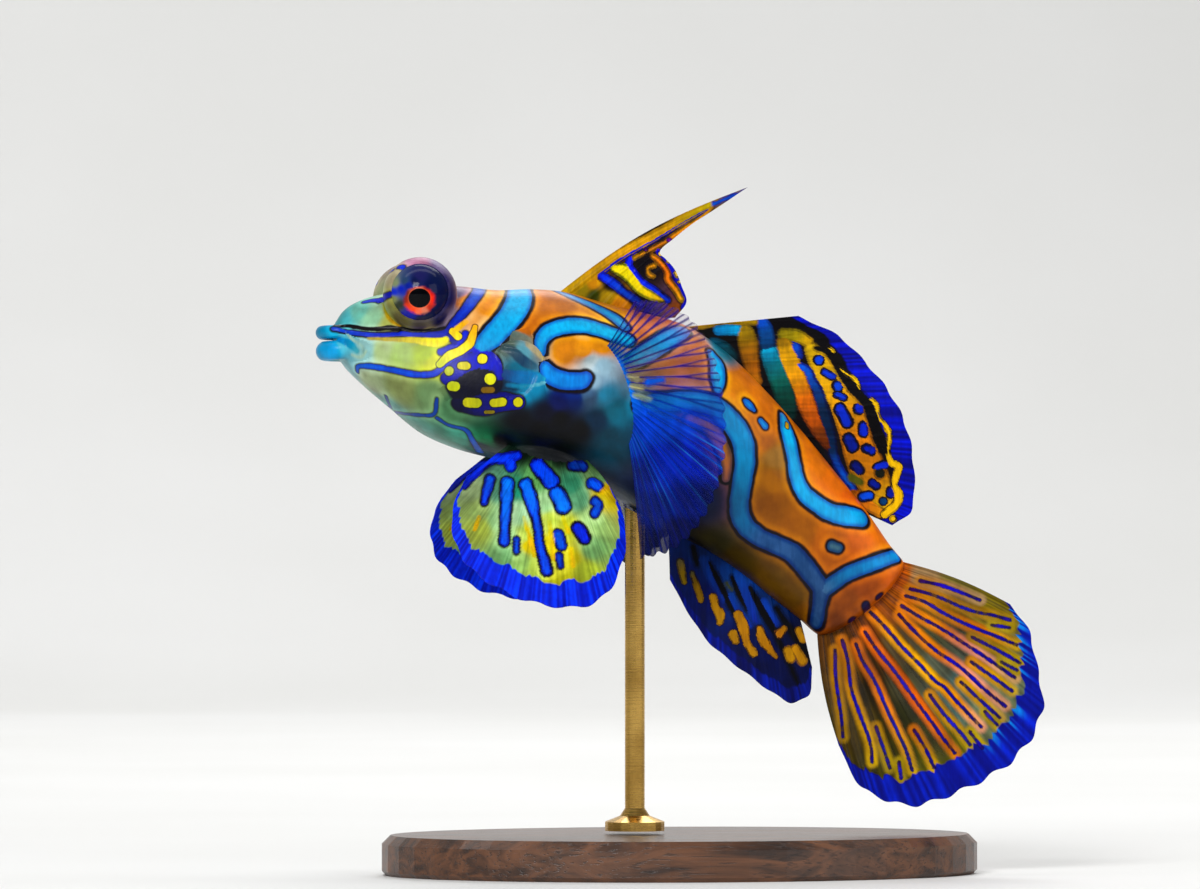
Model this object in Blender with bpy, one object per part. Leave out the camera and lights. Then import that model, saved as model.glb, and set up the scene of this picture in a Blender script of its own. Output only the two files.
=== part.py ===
"""Mandarinfish: a still, life-size model of the hovering fish, held by a plain display stand.

The fish swims towards -X with its left side to -Y. The body is lofted through stations that
are read off a side view of the animal, and every fin grows from that same body surface.
Metres, +Z up, with the origin under the middle of the stand's base.
"""

import math

import bmesh
import bpy
import numpy as np
from mathutils import Matrix, Vector

# Driving dimensions, in metres
TOTAL_LENGTH = 0.0644
GAP = 0.0003
ROOT_SINK = 0.0012
MEMBRANE = 0.00050
FIRST_SPINE_BOW = 0.0009
MERGE = 0.00002
LIP_RADII = (0.00054, 0.00076)
LIP_REACH = 0.0014
ORBIT_RADIUS = 0.00295
ORBIT_OUT = 0.0032
EYE_RADIUS = 0.00245
EYE_OUT = 0.00075
TAIL_SWING = 0.0022
BASE_LENGTH = 0.048
BASE_WIDTH = 0.032
BASE_HEIGHT = 0.0032
BASE_BEVEL = 0.0007
ROD_RADIUS = 0.0008
FOOT_RADIUS = 0.0024
FOOT_HEIGHT = 0.0012

# The side view: its unit is a 805th of the length along the bent body, and its right is +X
SIDE_LENGTH = 805
UNIT = TOTAL_LENGTH / SIDE_LENGTH
SIDE_ORIGIN = (680, 875)
SIDE_AZIMUTH = math.radians(-8)

# The fish banks a little, so its back leans away from the side view
BANK = math.radians(3)
BANK_HEIGHT = 0.036

# Stations from snout to tail root: back (x, y), belly (x, y) in side-view units,
# half width in metres, and how much narrower the top is than the bottom
STATIONS = np.array([
    (334, 327, 339, 358, 0.00130, 0.00),
    (345, 311, 349, 371, 0.00215, 0.05),
    (362, 301, 367, 388, 0.00300, 0.15),
    (387, 294, 391, 408, 0.00390, 0.22),
    (416, 289, 422, 433, 0.00480, 0.26),
    (455, 287, 455, 448, 0.00560, 0.24),
    (495, 291, 487, 457, 0.00605, 0.20),
    (530, 290, 515, 463, 0.00620, 0.16),
    (565, 293, 545, 470, 0.00620, 0.12),
    (605, 304, 577, 480, 0.00600, 0.10),
    (645, 314, 608, 494, 0.00570, 0.08),
    (687, 327, 640, 513, 0.00530, 0.06),
    (727, 354, 672, 533, 0.00485, 0.04),
    (764, 390, 706, 550, 0.00435, 0.02),
    (800, 430, 742, 574, 0.00375, 0.00),
    (833, 470, 773, 599, 0.00310, 0.00),
    (866, 511, 799, 619, 0.00245, 0.00),
    (889, 544, 811, 630, 0.00190, 0.00),
    (903, 561, 816, 634, 0.00150, 0.00),
])
HEAD_END = 7.5
TRUNK_END = 13.0
TAIL_END = 18.0
SQUARENESS = 2.3
RING = 28

# Side-view outlines of the fins, from the first ray to the last
FIRST_DORSAL_TIPS = (
    (748, 187), (717, 208), (695, 222), (677, 236), (661, 250), (667, 259), (675, 270),
    (682, 285), (687, 302), (675, 318),
)
SECOND_DORSAL_TIPS = (
    (799, 316), (840, 335), (869, 364), (892, 395), (908, 429), (916, 468), (914, 510), (893, 526),
)
ANAL_TIPS = (
    (670, 580), (689, 614), (710, 644), (736, 667), (763, 688), (790, 704), (810, 695), (813, 668),
)
PECTORAL_TIPS = (
    (634, 302), (663, 304), (692, 322), (712, 354), (722, 395), (725, 440), (719, 482), (702, 520),
    (674, 549), (640, 559),
)
PECTORAL_REACH = (0.0085, 0.0096, 0.0106, 0.0112, 0.0112, 0.0107, 0.0098, 0.0086, 0.0075, 0.0069)
CAUDAL_TIPS = (
    (1011, 605), (1031, 631), (1040, 668), (1046, 707), (1034, 740), (1011, 766), (980, 785),
    (948, 799), (916, 808), (884, 802), (857, 784), (839, 746),
)
PELVIC_TIPS = (
    (468, 477), (457, 499), (453, 524), (459, 549), (473, 569), (495, 585), (522, 598),
    (552, 605), (582, 606), (606, 594), (620, 570), (626, 541), (621, 510), (607, 483),
)
PELVIC_ROOT_Y = 456
PELVIC_SPLAY = math.radians(36)
FAR_PELVIC_SPLAY = math.radians(46)
FAR_PELVIC_SHIFT = 5

# Stations between which each fin grows, and where across the flank
FIRST_DORSAL_ROOT = (7.95, 10.6)
SECOND_DORSAL_ROOT = (11.0, 16.1)
ANAL_ROOT = (11.9, 16.1)
PECTORAL_ROOT = ((600, 353), (611, 385), (624, 426))
PELVIC_ROOT = (6.9, 8.85)
PELVIC_DROP = -0.88

COLOURS = {
    "skin_head": ((0.30, 0.62, 0.45), 0.40),
    "skin_body": ((0.85, 0.38, 0.08), 0.40),
    "skin_tail": ((0.70, 0.30, 0.08), 0.40),
    "fin_blue": ((0.02, 0.10, 0.65), 0.45),
    "fin_orange": ((0.80, 0.42, 0.08), 0.45),
    "eye": ((0.04, 0.03, 0.16), 0.10),
    "wood": ((0.16, 0.08, 0.04), 0.40),
    "brass": ((0.75, 0.55, 0.25), 0.28),
}
METALS = {"brass"}


def clear_scene():
    for obj in list(bpy.data.objects):
        bpy.data.objects.remove(obj)


def smooth_curve(points, u):
    """Point at share u of a Catmull-Rom curve through evenly spaced points."""
    points = np.asarray(points, float)
    last = len(points) - 1
    at = min(max(u, 0.0), 1.0) * last
    i = min(int(at), last - 1)
    t = at - i
    before = points[i - 1] if i else 2 * points[0] - points[1]
    after = points[i + 2] if i + 2 <= last else 2 * points[last] - points[last - 1]
    a, b = points[i], points[i + 1]
    return 0.5 * (
        2 * a + (b - before) * t
        + (2 * before - 5 * a + 4 * b - after) * t**2
        + (3 * a - before - 3 * b + after) * t**3
    )


def swing(x):
    """How far the rear of the fish swings to its left at side-view x."""
    return -TAIL_SWING * max(0.0, (x - 620) / 420) ** 2


def place(x, y, out=0.0):
    """The point of the unbanked fish at lateral distance out that the side view shows at (x, y).
    Its height is measured from BANK_HEIGHT."""
    across = (x - SIDE_ORIGIN[0]) * UNIT
    height = (SIDE_ORIGIN[1] - y) * UNIT - BANK_HEIGHT
    z = (height + out * math.sin(BANK)) / math.cos(BANK)
    away = out * math.cos(BANK) + z * math.sin(BANK)
    return Vector(((across - away * math.sin(SIDE_AZIMUTH)) / math.cos(SIDE_AZIMUTH), out, z))


def section(s, grow=0.0):
    """Centre, half-depth vector, half width and taper of the body at station s."""
    back_x, back_y, belly_x, belly_y, width, taper = smooth_curve(STATIONS, s / TAIL_END)
    back = place(back_x, back_y, swing(back_x))
    belly = place(belly_x, belly_y, swing(belly_x))
    up = (back - belly) / 2
    return (back + belly) / 2, up * (1 + grow / up.length), width + grow, taper


def skin(s, rise, side, grow=0.0):
    """Surface point at station s, at share rise of the half depth, on side -1 (left) or 1."""
    centre, up, width, taper = section(s, grow)
    out = max(0.0, 1 - abs(rise) ** SQUARENESS) ** (1 / SQUARENESS) * (1 - taper * rise)
    return centre + up * rise + Vector((0, side * width * out, 0))


def skin_at(x, y, side=-1, steps=6):
    """Station, rise and surface point of the near flank that the side view shows at (x, y)."""
    out = 0.0
    for _ in range(steps):
        target = place(x, y, out)
        low, high = 0.0, TAIL_END
        for _ in range(30):
            s = (low + high) / 2
            centre, up, _, _ = section(s)
            off = target - centre
            if off.x * up.z - off.z * up.x > 0:
                low = s
            else:
                high = s
        flat_up = Vector((up.x, 0, up.z))
        rise = max(-0.98, min(0.98, off.dot(flat_up) / flat_up.length_squared))
        found = skin(s, rise, -1)
        out = found.y
    return s, rise, skin(s, rise, side)


def mesh_object(name, vertices, faces, material=None, parent=None):
    mesh = bpy.data.meshes.new(name)
    mesh.from_pydata([tuple(v) for v in vertices], [], faces)
    mesh.validate()
    obj = bpy.data.objects.new(name, mesh)
    bpy.context.scene.collection.objects.link(obj)
    obj.parent = parent
    if material:
        mesh.materials.append(material)
    return obj


def materials():
    made = {}
    for name, (colour, roughness) in COLOURS.items():
        material = bpy.data.materials.new(name)
        material.use_nodes = True
        shader = material.node_tree.nodes["Principled BSDF"]
        shader.inputs["Base Color"].default_value = (*colour, 1)
        shader.inputs["Roughness"].default_value = roughness
        shader.inputs["Metallic"].default_value = float(name in METALS)
        made[name] = material
    return made


def face_outward(mesh):
    """Turns the faces of a closed mesh outward."""
    work = bmesh.new()
    work.from_mesh(mesh)
    bmesh.ops.recalc_face_normals(work, faces=work.faces)
    if work.calc_volume(signed=True) < 0:
        bmesh.ops.reverse_faces(work, faces=work.faces)
    work.to_mesh(mesh)
    work.free()


def merge_close(mesh):
    """Merges the points of a closed mesh that nearly meet, where it stays closed."""
    work = bmesh.new()
    work.from_mesh(mesh)
    bmesh.ops.remove_doubles(work, verts=work.verts, dist=MERGE)
    if all(edge.is_manifold for edge in work.edges):
        work.to_mesh(mesh)
    work.free()


def keep_largest(mesh):
    """Drops all but the largest closed surface of a mesh."""
    work = bmesh.new()
    work.from_mesh(mesh)
    left, islands = set(work.faces), []
    while left:
        todo = [left.pop()]
        island = set(todo)
        while todo:
            for edge in todo.pop().edges:
                for face in edge.link_faces:
                    if face in left:
                        left.discard(face)
                        island.add(face)
                        todo.append(face)
        islands.append(island)
    largest = max(islands, key=lambda island: sum(face.calc_area() for face in island))
    spare = [face for island in islands if island is not largest for face in island]
    bmesh.ops.delete(work, geom=spare, context="FACES")
    work.to_mesh(mesh)
    work.free()


def combine(obj, others, operation, solver="EXACT"):
    """Applies one Boolean of obj with a collection of closed meshes, then removes those."""
    for piece in (obj, *others):
        face_outward(piece.data)
    helpers = bpy.data.collections.new(f"{obj.name}_{operation.lower()}")
    bpy.context.scene.collection.children.link(helpers)
    for other in others:
        bpy.context.scene.collection.objects.unlink(other)
        helpers.objects.link(other)
    modifier = obj.modifiers.new(operation.lower(), "BOOLEAN")
    modifier.operand_type = "COLLECTION"
    modifier.collection = helpers
    modifier.operation = operation
    modifier.solver = solver
    graph = bpy.context.evaluated_depsgraph_get()
    made = bpy.data.meshes.new_from_object(obj.evaluated_get(graph))
    obj.modifiers.clear()
    obj.data = made
    for other in others:
        bpy.data.objects.remove(other)
    bpy.data.collections.remove(helpers)
    merge_close(made)
    keep_largest(made)
    return obj


def loft(name, rings, material=None, parent=None):
    """A closed skin over rings of equal length, with flat ends."""
    count = len(rings[0])
    vertices = [p for ring in rings for p in ring]
    faces = []
    for i in range(len(rings) - 1):
        for j in range(count):
            k = (j + 1) % count
            faces.append((i * count + j, i * count + k, (i + 1) * count + k, (i + 1) * count + j))
    faces.append(tuple(reversed(range(count))))
    faces.append(tuple(range((len(rings) - 1) * count, len(rings) * count)))
    obj = mesh_object(name, vertices, faces, material, parent)
    face_outward(obj.data)
    return obj


def body_ring(s, grow=0.0):
    ring = []
    for j in range(RING):
        angle = 2 * math.pi * (j + 0.5) / RING
        rise = math.copysign(abs(math.sin(angle)) ** (2 / SQUARENESS), math.sin(angle))
        out = math.copysign(abs(math.cos(angle)) ** (2 / SQUARENESS), math.cos(angle))
        centre, up, width, taper = section(s, grow)
        ring.append(centre + up * rise + Vector((0, width * out * (1 - taper * rise), 0)))
    return ring


def body_loft(name, first, last, rings, grow=0.0, material=None, parent=None):
    stations = np.linspace(first, last, rings)
    return loft(name, [body_ring(s, grow) for s in stations], material, parent)


def station_step(s):
    """Length of one station along the middle of the body, at s."""
    return (section(min(s + 0.5, TAIL_END))[0] - section(s - 0.5)[0]).length


def ellipsoid(name, centre, radii, axes=None, segments=16, rings=10, parent=None):
    """A ball with these half axes, turned so that its local axes are the given ones."""
    obj = mesh_object(name, [], [], parent=parent)
    work = bmesh.new()
    bmesh.ops.create_uvsphere(work, u_segments=segments, v_segments=rings, radius=1)
    turn = Matrix(axes).transposed().to_4x4() if axes else Matrix.Identity(4)
    work.transform(Matrix.Translation(centre) @ turn @ Matrix.Diagonal((*radii, 1)))
    work.to_mesh(obj.data)
    work.free()
    return obj


def tube(name, path, radii, sides=8, parent=None):
    """A closed tube of elliptical rings along a path; radii is one (across, up) pair a point."""
    rings = []
    for i, point in enumerate(path):
        along = (path[min(i + 1, len(path) - 1)] - path[max(i - 1, 0)]).normalized()
        across = along.cross(Vector((0, 0, 1))).normalized()
        up = across.cross(along)
        wide, tall = radii[i]
        rings.append([
            point + across * wide * math.cos(a) + up * tall * math.sin(a)
            for a in (2 * math.pi * k / sides for k in range(sides))
        ])
    return loft(name, rings, parent=parent)


def lip(name, y, radius, parent):
    """A thick lip that bends round the front of the mouth and ends in the cheeks."""
    middle = place(340, y)
    path, radii = [], []
    for k in range(11):
        angle = math.radians(-105 + 21 * k)
        ahead = LIP_REACH * math.cos(angle) - (radius - LIP_RADII[0])
        path.append(middle + Vector((-ahead, LIP_REACH * math.sin(angle), 0)))
        radii.append((radius * 0.9, radius))
    return tube(name, path, radii, sides=10, parent=parent)


def orbit_centre(side):
    near = place(421, 296, -ORBIT_OUT)
    return Vector((near.x, side * ORBIT_OUT, near.z))


def eye_centre(side):
    gaze = Vector((-0.12, side, 0.06)).normalized()
    return orbit_centre(side) + gaze * EYE_OUT


def mouth_line(side, parent):
    """The slit that runs back from the mouth, under the snout and the eye."""
    points = ((343, 327), (356, 330), (376, 333), (398, 333), (420, 334), (441, 336))
    path = [skin_at(x, y, side)[2] for x, y in points]
    return tube(f"mouth_line_{side}", path, [(0.00028, 0.00020)] * len(path), 6, parent)


def gill_flap(side, parent):
    """The low flap that covers the gill opening behind the cheek."""
    _, _, centre = skin_at(518, 364, side)
    axes = (Vector((0.96, 0.12 * side, -0.26)), Vector((0.26, 0, 0.96)), Vector((0.1, side, 0)))
    return ellipsoid(f"gill_flap_{side}", centre, (0.0016, 0.0019, 0.0005), axes, 14, 8, parent)


def make_head(colours, parent):
    half_gap = GAP / 2 / station_step(HEAD_END)
    head = body_loft("head", 0, HEAD_END - half_gap, 22, 0, colours["skin_head"], parent)
    upper = lip("lip_upper", 333.5, LIP_RADII[0], parent)
    lower = lip("lip_lower", 352.0, LIP_RADII[1], parent)
    domes = [
        ellipsoid(f"orbit_{side}", orbit_centre(side), (ORBIT_RADIUS,) * 3, None, 24, 14, parent)
        for side in (-1, 1)
    ]
    flaps = [gill_flap(side, parent) for side in (-1, 1)]
    combine(head, [upper, lower, *domes, *flaps], "UNION")
    cutters = [mouth_line(side, parent) for side in (-1, 1)]
    for side in (-1, 1):
        cutters.append(ellipsoid(
            f"socket_{side}", eye_centre(side), (EYE_RADIUS + GAP,) * 3, None, 24, 14, parent
        ))
        nostril = skin_at(364, 308, side)[2]
        cutters.append(ellipsoid(f"nostril_{side}", nostril, (0.00022,) * 3, None, 8, 6, parent))
    return combine(head, cutters, "DIFFERENCE")


def make_eye(name, side, colours, parent):
    eye = ellipsoid(name, eye_centre(side), (EYE_RADIUS,) * 3, None, 20, 12, parent)
    eye.data.materials.append(colours["eye"])
    return eye


def fin_sheet(name, root, tip, rays, rows, ridge, sink, bow, scallop, material, parent):
    """A membrane with its rays raised as ridges in its own two faces.
    root(u) and tip(u) give the ends of the ray at share u, which starts the length sink deeper,
    and bow(u, v) moves a point off the straight line between them."""
    shares, crest = [], []
    for i in range(rays - 1):
        shares += [i / (rays - 1), (i + 0.32) / (rays - 1), (i + 0.68) / (rays - 1)]
        crest += [1.0, 0.0, 0.0]
    shares.append(1.0)
    crest.append(1.0)
    columns = len(shares)
    middle = np.zeros((columns, rows, 3))
    half = np.zeros((columns, rows))
    for i, u in enumerate(shares):
        low, high = np.array(root(u)), np.array(tip(u))
        high = low + (high - low) * (1 - scallop * (1 - crest[i]))
        low = low - (high - low) / np.linalg.norm(high - low) * sink
        for j in range(rows):
            v = j / (rows - 1)
            middle[i, j] = low + (high - low) * v + bow(u, v)
            half[i, j] = MEMBRANE / 2 * (1 - 0.45 * v) + ridge * crest[i] * (1 - 0.6 * v)
    along = np.gradient(middle, axis=1)
    across = np.gradient(middle, axis=0)
    normal = np.cross(across, along)
    normal /= np.linalg.norm(normal, axis=2, keepdims=True)
    front = middle + normal * half[..., None]
    back = middle - normal * half[..., None]
    vertices = np.concatenate([front.reshape(-1, 3), back.reshape(-1, 3)])
    total = columns * rows
    faces = []
    for i in range(columns - 1):
        for j in range(rows - 1):
            a, b = i * rows + j, (i + 1) * rows + j
            c, d = b + 1, a + 1
            for tri in ((a, b, c), (a, c, d)):
                faces.append(tri)
                faces.append(tuple(total + k for k in reversed(tri)))
    rim = [i * rows for i in range(columns)]
    rim += [(columns - 1) * rows + j for j in range(1, rows)]
    rim += [i * rows + rows - 1 for i in range(columns - 2, -1, -1)]
    rim += list(range(rows - 2, 0, -1))
    for a, b in zip(rim, rim[1:] + rim[:1]):
        faces += [(b, a, total + a), (b, total + a, total + b)]
    obj = mesh_object(name, vertices, faces, material, parent)
    face_outward(obj.data)
    return obj


def clear_of_body(fin, parent):
    """Cuts a fin back to just outside the body's skin."""
    cutter = body_loft("clearance", 0, TAIL_END, 61, GAP, parent=parent)
    return combine(fin, [cutter], "DIFFERENCE", "MANIFOLD")


def on_ridge(span, u, edge):
    """Point of the back (edge 1) or belly (edge -1) at share u of a span of stations."""
    centre, up, _, _ = section(span[0] + (span[1] - span[0]) * u)
    return centre + up * edge


def midline_point(point):
    return place(*point, swing(point[0]))


def make_first_dorsal(colours, parent):
    def root(u):
        return on_ridge(FIRST_DORSAL_ROOT, u, 1)

    def tip(u):
        return midline_point(smooth_curve(FIRST_DORSAL_TIPS, u))

    def bow(u, v):
        lift = FIRST_SPINE_BOW * math.sin(math.pi * v) * (1 - 0.7 * min(1, 4 * u))
        return np.array((-0.45 * lift, 0, 0.9 * lift))

    fin = fin_sheet("fin_dorsal_first", root, tip, 7, 10, 0.00022, ROOT_SINK, bow, 0.02,
                    colours["fin_orange"], parent)
    return clear_of_body(fin, parent)


def make_second_dorsal(colours, parent):
    def root(u):
        return on_ridge(SECOND_DORSAL_ROOT, u, 1)

    def tip(u):
        return midline_point(smooth_curve(SECOND_DORSAL_TIPS, u))

    def bow(u, v):
        return np.array((0, 0.0004 * math.sin(3 * math.pi * u) * v, 0))

    fin = fin_sheet("fin_dorsal_second", root, tip, 9, 8, 0.00016, ROOT_SINK, bow, 0.02,
                    colours["fin_orange"], parent)
    return clear_of_body(fin, parent)


def make_anal(colours, parent):
    def root(u):
        return on_ridge(ANAL_ROOT, u, -1)

    def tip(u):
        return midline_point(smooth_curve(ANAL_TIPS, u))

    def bow(u, v):
        return np.array((0, 0.0004 * math.sin(2.5 * math.pi * u) * v, 0))

    fin = fin_sheet("fin_anal", root, tip, 8, 8, 0.00016, ROOT_SINK, bow, 0.02,
                    colours["fin_blue"], parent)
    return clear_of_body(fin, parent)


def make_caudal(colours, parent):
    """The fan of the tail."""
    centre, up, _, _ = section(TAIL_END)

    def root(u):
        return centre + up * 0.93 * (1 - 2 * u)

    def tip(u):
        return midline_point(smooth_curve(CAUDAL_TIPS, u))

    def bow(u, v):
        flare = math.sin(math.pi * v) * (0.5 - u) * 0.0010
        return np.array((0, 0.0003 * math.sin(2 * math.pi * u) * v, 0)) + np.array(up.normalized()) * flare

    fin = fin_sheet("fin_caudal", root, tip, 12, 10, 0.00020, ROOT_SINK, bow, 0.015,
                    colours["fin_orange"], parent)
    return clear_of_body(fin, parent)


def make_pectoral(name, side, colours, parent):
    """A fan of many rays that spreads back and out from a fleshy base on the flank.
    It is built on the left, and its mirror image is the right one."""
    ends = [skin_at(x, y)[2] for x, y in PECTORAL_ROOT]

    def root(u):
        point = Vector(smooth_curve([tuple(p) for p in ends], u))
        return point + Vector((0.0004, ROOT_SINK * 0.6, 0))

    def tip(u):
        x, y = smooth_curve(PECTORAL_TIPS, u)
        reach = smooth_curve([(r,) for r in PECTORAL_REACH], u)[0]
        return place(x, y, -reach)

    def bow(u, v):
        return np.array((0, -0.0006 * math.sin(math.pi * v), 0))

    fin = fin_sheet(name, root, tip, 15, 7, 0.00014, 0, bow, 0.02, colours["fin_blue"], parent)
    middle = ends[1] + Vector((-0.0001, 0, 0))
    along = (ends[2] - ends[0]).normalized()
    outward = Vector((0.25, -1, 0)).normalized()
    outward = (outward - along * outward.dot(along)).normalized()
    lobe = ellipsoid("lobe", middle, (0.0036, 0.0009, 0.0010),
                     (along, outward.cross(along), outward), 16, 10, parent)
    combine(fin, [lobe], "UNION", "MANIFOLD")
    clear_of_body(fin, parent)
    fin.data.transform(Matrix.Diagonal((1, -side, 1, 1)))
    face_outward(fin.data)
    return fin


def make_pelvic(name, side, splay, shift, colours, parent):
    """A broad rounded fan that hangs down and out from under the throat."""
    def root(u):
        s = PELVIC_ROOT[0] + (PELVIC_ROOT[1] - PELVIC_ROOT[0]) * u
        point = skin(s, PELVIC_DROP, side)
        return point + Vector((0, -side * ROOT_SINK * 0.5, ROOT_SINK * 0.8))

    base = -skin(sum(PELVIC_ROOT) / 2, PELVIC_DROP, -1).y

    def tip(u):
        x, y = smooth_curve(PELVIC_TIPS, u)
        reach = (y - PELVIC_ROOT_Y) * UNIT / math.cos(PELVIC_SPLAY)
        near = place(x + shift, y, -base - reach * math.sin(PELVIC_SPLAY))
        hinge = near.z + reach * math.cos(PELVIC_SPLAY)
        return Vector((
            near.x, side * (base + reach * math.sin(splay)), hinge - reach * math.cos(splay)
        ))

    def bow(u, v):
        return np.array((0, side * 0.0007 * math.sin(math.pi * v), 0))

    fin = fin_sheet(name, root, tip, 12, 8, 0.00016, 0, bow, 0.02, colours["fin_blue"], parent)
    middle = (root(0) + root(1)) / 2 + Vector((0, side * 0.0001, -0.0004))
    along = (root(1) - root(0)).normalized()
    down = Vector((0, side * math.sin(splay), -math.cos(splay)))
    down = (down - along * down.dot(along)).normalized()
    lobe = ellipsoid("lobe", middle, (0.0034, 0.0011, 0.0016),
                     (along, down.cross(along), down), 16, 10, parent)
    combine(fin, [lobe], "UNION", "MANIFOLD")
    return clear_of_body(fin, parent)


def turned(name, profile, centre, squash=1.0, segments=40, material=None):
    """A solid turned from (radius, height) pairs, its rings squashed in Y to ovals."""
    rings = [
        [
            Vector((
                centre[0] + radius * math.cos(2 * math.pi * k / segments),
                centre[1] + (radius * squash) * math.sin(2 * math.pi * k / segments),
                height,
            ))
            for k in range(segments)
        ]
        for radius, height in profile
    ]
    return loft(name, rings, material)


def make_stand(colours, pose):
    half = BASE_LENGTH / 2
    base = turned("stand_base", [
        (half - BASE_BEVEL / 2, 0),
        (half, BASE_BEVEL / 2),
        (half, BASE_HEIGHT - BASE_BEVEL),
        (half - BASE_BEVEL, BASE_HEIGHT),
    ], (0, 0), BASE_WIDTH / BASE_LENGTH, 48, colours["wood"])
    hold = pose.matrix_basis @ skin_at(640, 500)[2]
    foot = BASE_HEIGHT + GAP
    rod = turned("stand_rod", [
        (FOOT_RADIUS, foot),
        (FOOT_RADIUS, foot + FOOT_HEIGHT * 0.6),
        (ROD_RADIUS * 1.5, foot + FOOT_HEIGHT),
        (ROD_RADIUS, foot + FOOT_HEIGHT * 1.5),
        (ROD_RADIUS, hold.z + 0.0015),
    ], (hold.x, 0), 1.0, 20, colours["brass"])
    cutter = body_loft("clearance", 0, TAIL_END, 61, GAP, parent=pose)
    combine(rod, [cutter], "DIFFERENCE")
    return base, rod


def main():
    clear_scene()
    colours = materials()
    pose = bpy.data.objects.new("fish_pose", None)
    bpy.context.scene.collection.objects.link(pose)
    pose.location = (0, 0, BANK_HEIGHT)
    pose.rotation_euler = (-BANK, 0, 0)
    bpy.context.view_layer.update()

    make_head(colours, pose)
    make_eye("eye_left", -1, colours, pose)
    make_eye("eye_right", 1, colours, pose)
    half_gap = GAP / 2 / station_step(HEAD_END)
    rear_gap = GAP / 2 / station_step(TRUNK_END)
    body_loft("trunk", HEAD_END + half_gap, TRUNK_END - rear_gap, 15, 0, colours["skin_body"], pose)
    body_loft("tail_stalk", TRUNK_END + rear_gap, TAIL_END, 12, 0, colours["skin_tail"], pose)
    make_first_dorsal(colours, pose)
    make_second_dorsal(colours, pose)
    make_anal(colours, pose)
    make_caudal(colours, pose)
    for name, side in (("left", -1), ("right", 1)):
        make_pectoral(f"fin_pectoral_{name}", side, colours, pose)
    make_pelvic("fin_pelvic_left", -1, PELVIC_SPLAY, 0, colours, pose)
    make_pelvic("fin_pelvic_right", 1, FAR_PELVIC_SPLAY, FAR_PELVIC_SHIFT, colours, pose)
    make_stand(colours, pose)
    for obj in bpy.context.scene.objects:
        if obj.type == "MESH":
            obj.data.shade_smooth()
            obj.data.set_sharp_from_angle(angle=math.radians(50))


main()
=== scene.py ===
"""Mandarinfish: the looks of a still, life-size model on its display stand.

One skin stands for the head, trunk and tail stalk, and each fin is a thin sheet with raised
rays. The markings are strokes over a ground of colour zones, placed in side-view units. They
are laid onto the flank that the camera sees, and kept with each mesh as numbers and colours
that its material reads. The other flank carries the same markings, a little shifted.
Lengths are in millimetres until the meshes are made.
"""

import math

import bpy
import numpy as np
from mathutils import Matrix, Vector
from mathutils.bvhtree import BVHTree


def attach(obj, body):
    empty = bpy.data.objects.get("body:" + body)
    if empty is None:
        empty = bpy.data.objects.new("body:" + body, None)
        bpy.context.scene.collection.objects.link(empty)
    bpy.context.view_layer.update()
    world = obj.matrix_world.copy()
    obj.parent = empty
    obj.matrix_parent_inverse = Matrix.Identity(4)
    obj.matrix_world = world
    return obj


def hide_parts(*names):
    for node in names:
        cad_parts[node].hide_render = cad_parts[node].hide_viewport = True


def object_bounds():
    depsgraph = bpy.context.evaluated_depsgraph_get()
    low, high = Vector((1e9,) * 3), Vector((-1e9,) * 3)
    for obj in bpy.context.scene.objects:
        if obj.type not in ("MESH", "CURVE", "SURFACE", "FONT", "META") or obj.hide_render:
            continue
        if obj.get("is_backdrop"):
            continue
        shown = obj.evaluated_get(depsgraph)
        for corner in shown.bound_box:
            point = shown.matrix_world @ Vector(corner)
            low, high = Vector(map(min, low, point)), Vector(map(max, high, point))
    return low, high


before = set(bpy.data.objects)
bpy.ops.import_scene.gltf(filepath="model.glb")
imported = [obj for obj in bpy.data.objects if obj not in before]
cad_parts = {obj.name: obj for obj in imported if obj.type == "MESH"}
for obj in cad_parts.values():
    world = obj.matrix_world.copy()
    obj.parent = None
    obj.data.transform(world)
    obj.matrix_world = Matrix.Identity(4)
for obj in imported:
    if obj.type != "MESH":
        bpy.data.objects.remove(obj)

CAD_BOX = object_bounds()

# The fish swims towards -X, and its left side faces -Y and the camera
LEFT = -1
SIDE_WORDS = {LEFT: "left", 1: "right"}

# Driving dimensions, in millimetres, as in the part's source. UNIT is a side-view unit:
# the fish is FISH_SPAN of them long.
FISH_LENGTH = 64.4
FISH_SPAN = 805
UNIT = FISH_LENGTH / FISH_SPAN
SIDE_ORIGIN = (680, 875)
AZIMUTH = math.radians(-8)
BANK = math.radians(3)
BANK_HEIGHT = 36.0
TAIL_END = 18.0
SQUARENESS = 2.3
TAIL_SWING = 2.2
SWING_FROM, SWING_SPAN = 620, 420
TO_METRES = 0.001

# The camera: a long lens level with the fish
SIGHT = 800.0
TARGET = np.array((-6.4 / math.cos(AZIMUTH), 0.0, 34.4))
AHEAD = np.array((-math.sin(AZIMUTH), math.cos(AZIMUTH), 0.0))
RIGHT = np.array((math.cos(AZIMUTH), math.sin(AZIMUTH), 0.0))
PICTURE = (1200, 889)
LENS = 300
SENSOR = 36
FOCAL = LENS / SENSOR * PICTURE[0]

# The studio, in metres
FLOOR_FRONT, FLOOR_BACK, FLOOR_SIDE = -1.2, 0.5, 2.0
COVE_RADIUS, COVE_STEPS = 0.25, 12
WALL_TOP = 1.6
MODEL_MIDDLE = (0, 0, 0.035)
WORLD_STRENGTH = 0.18
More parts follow.
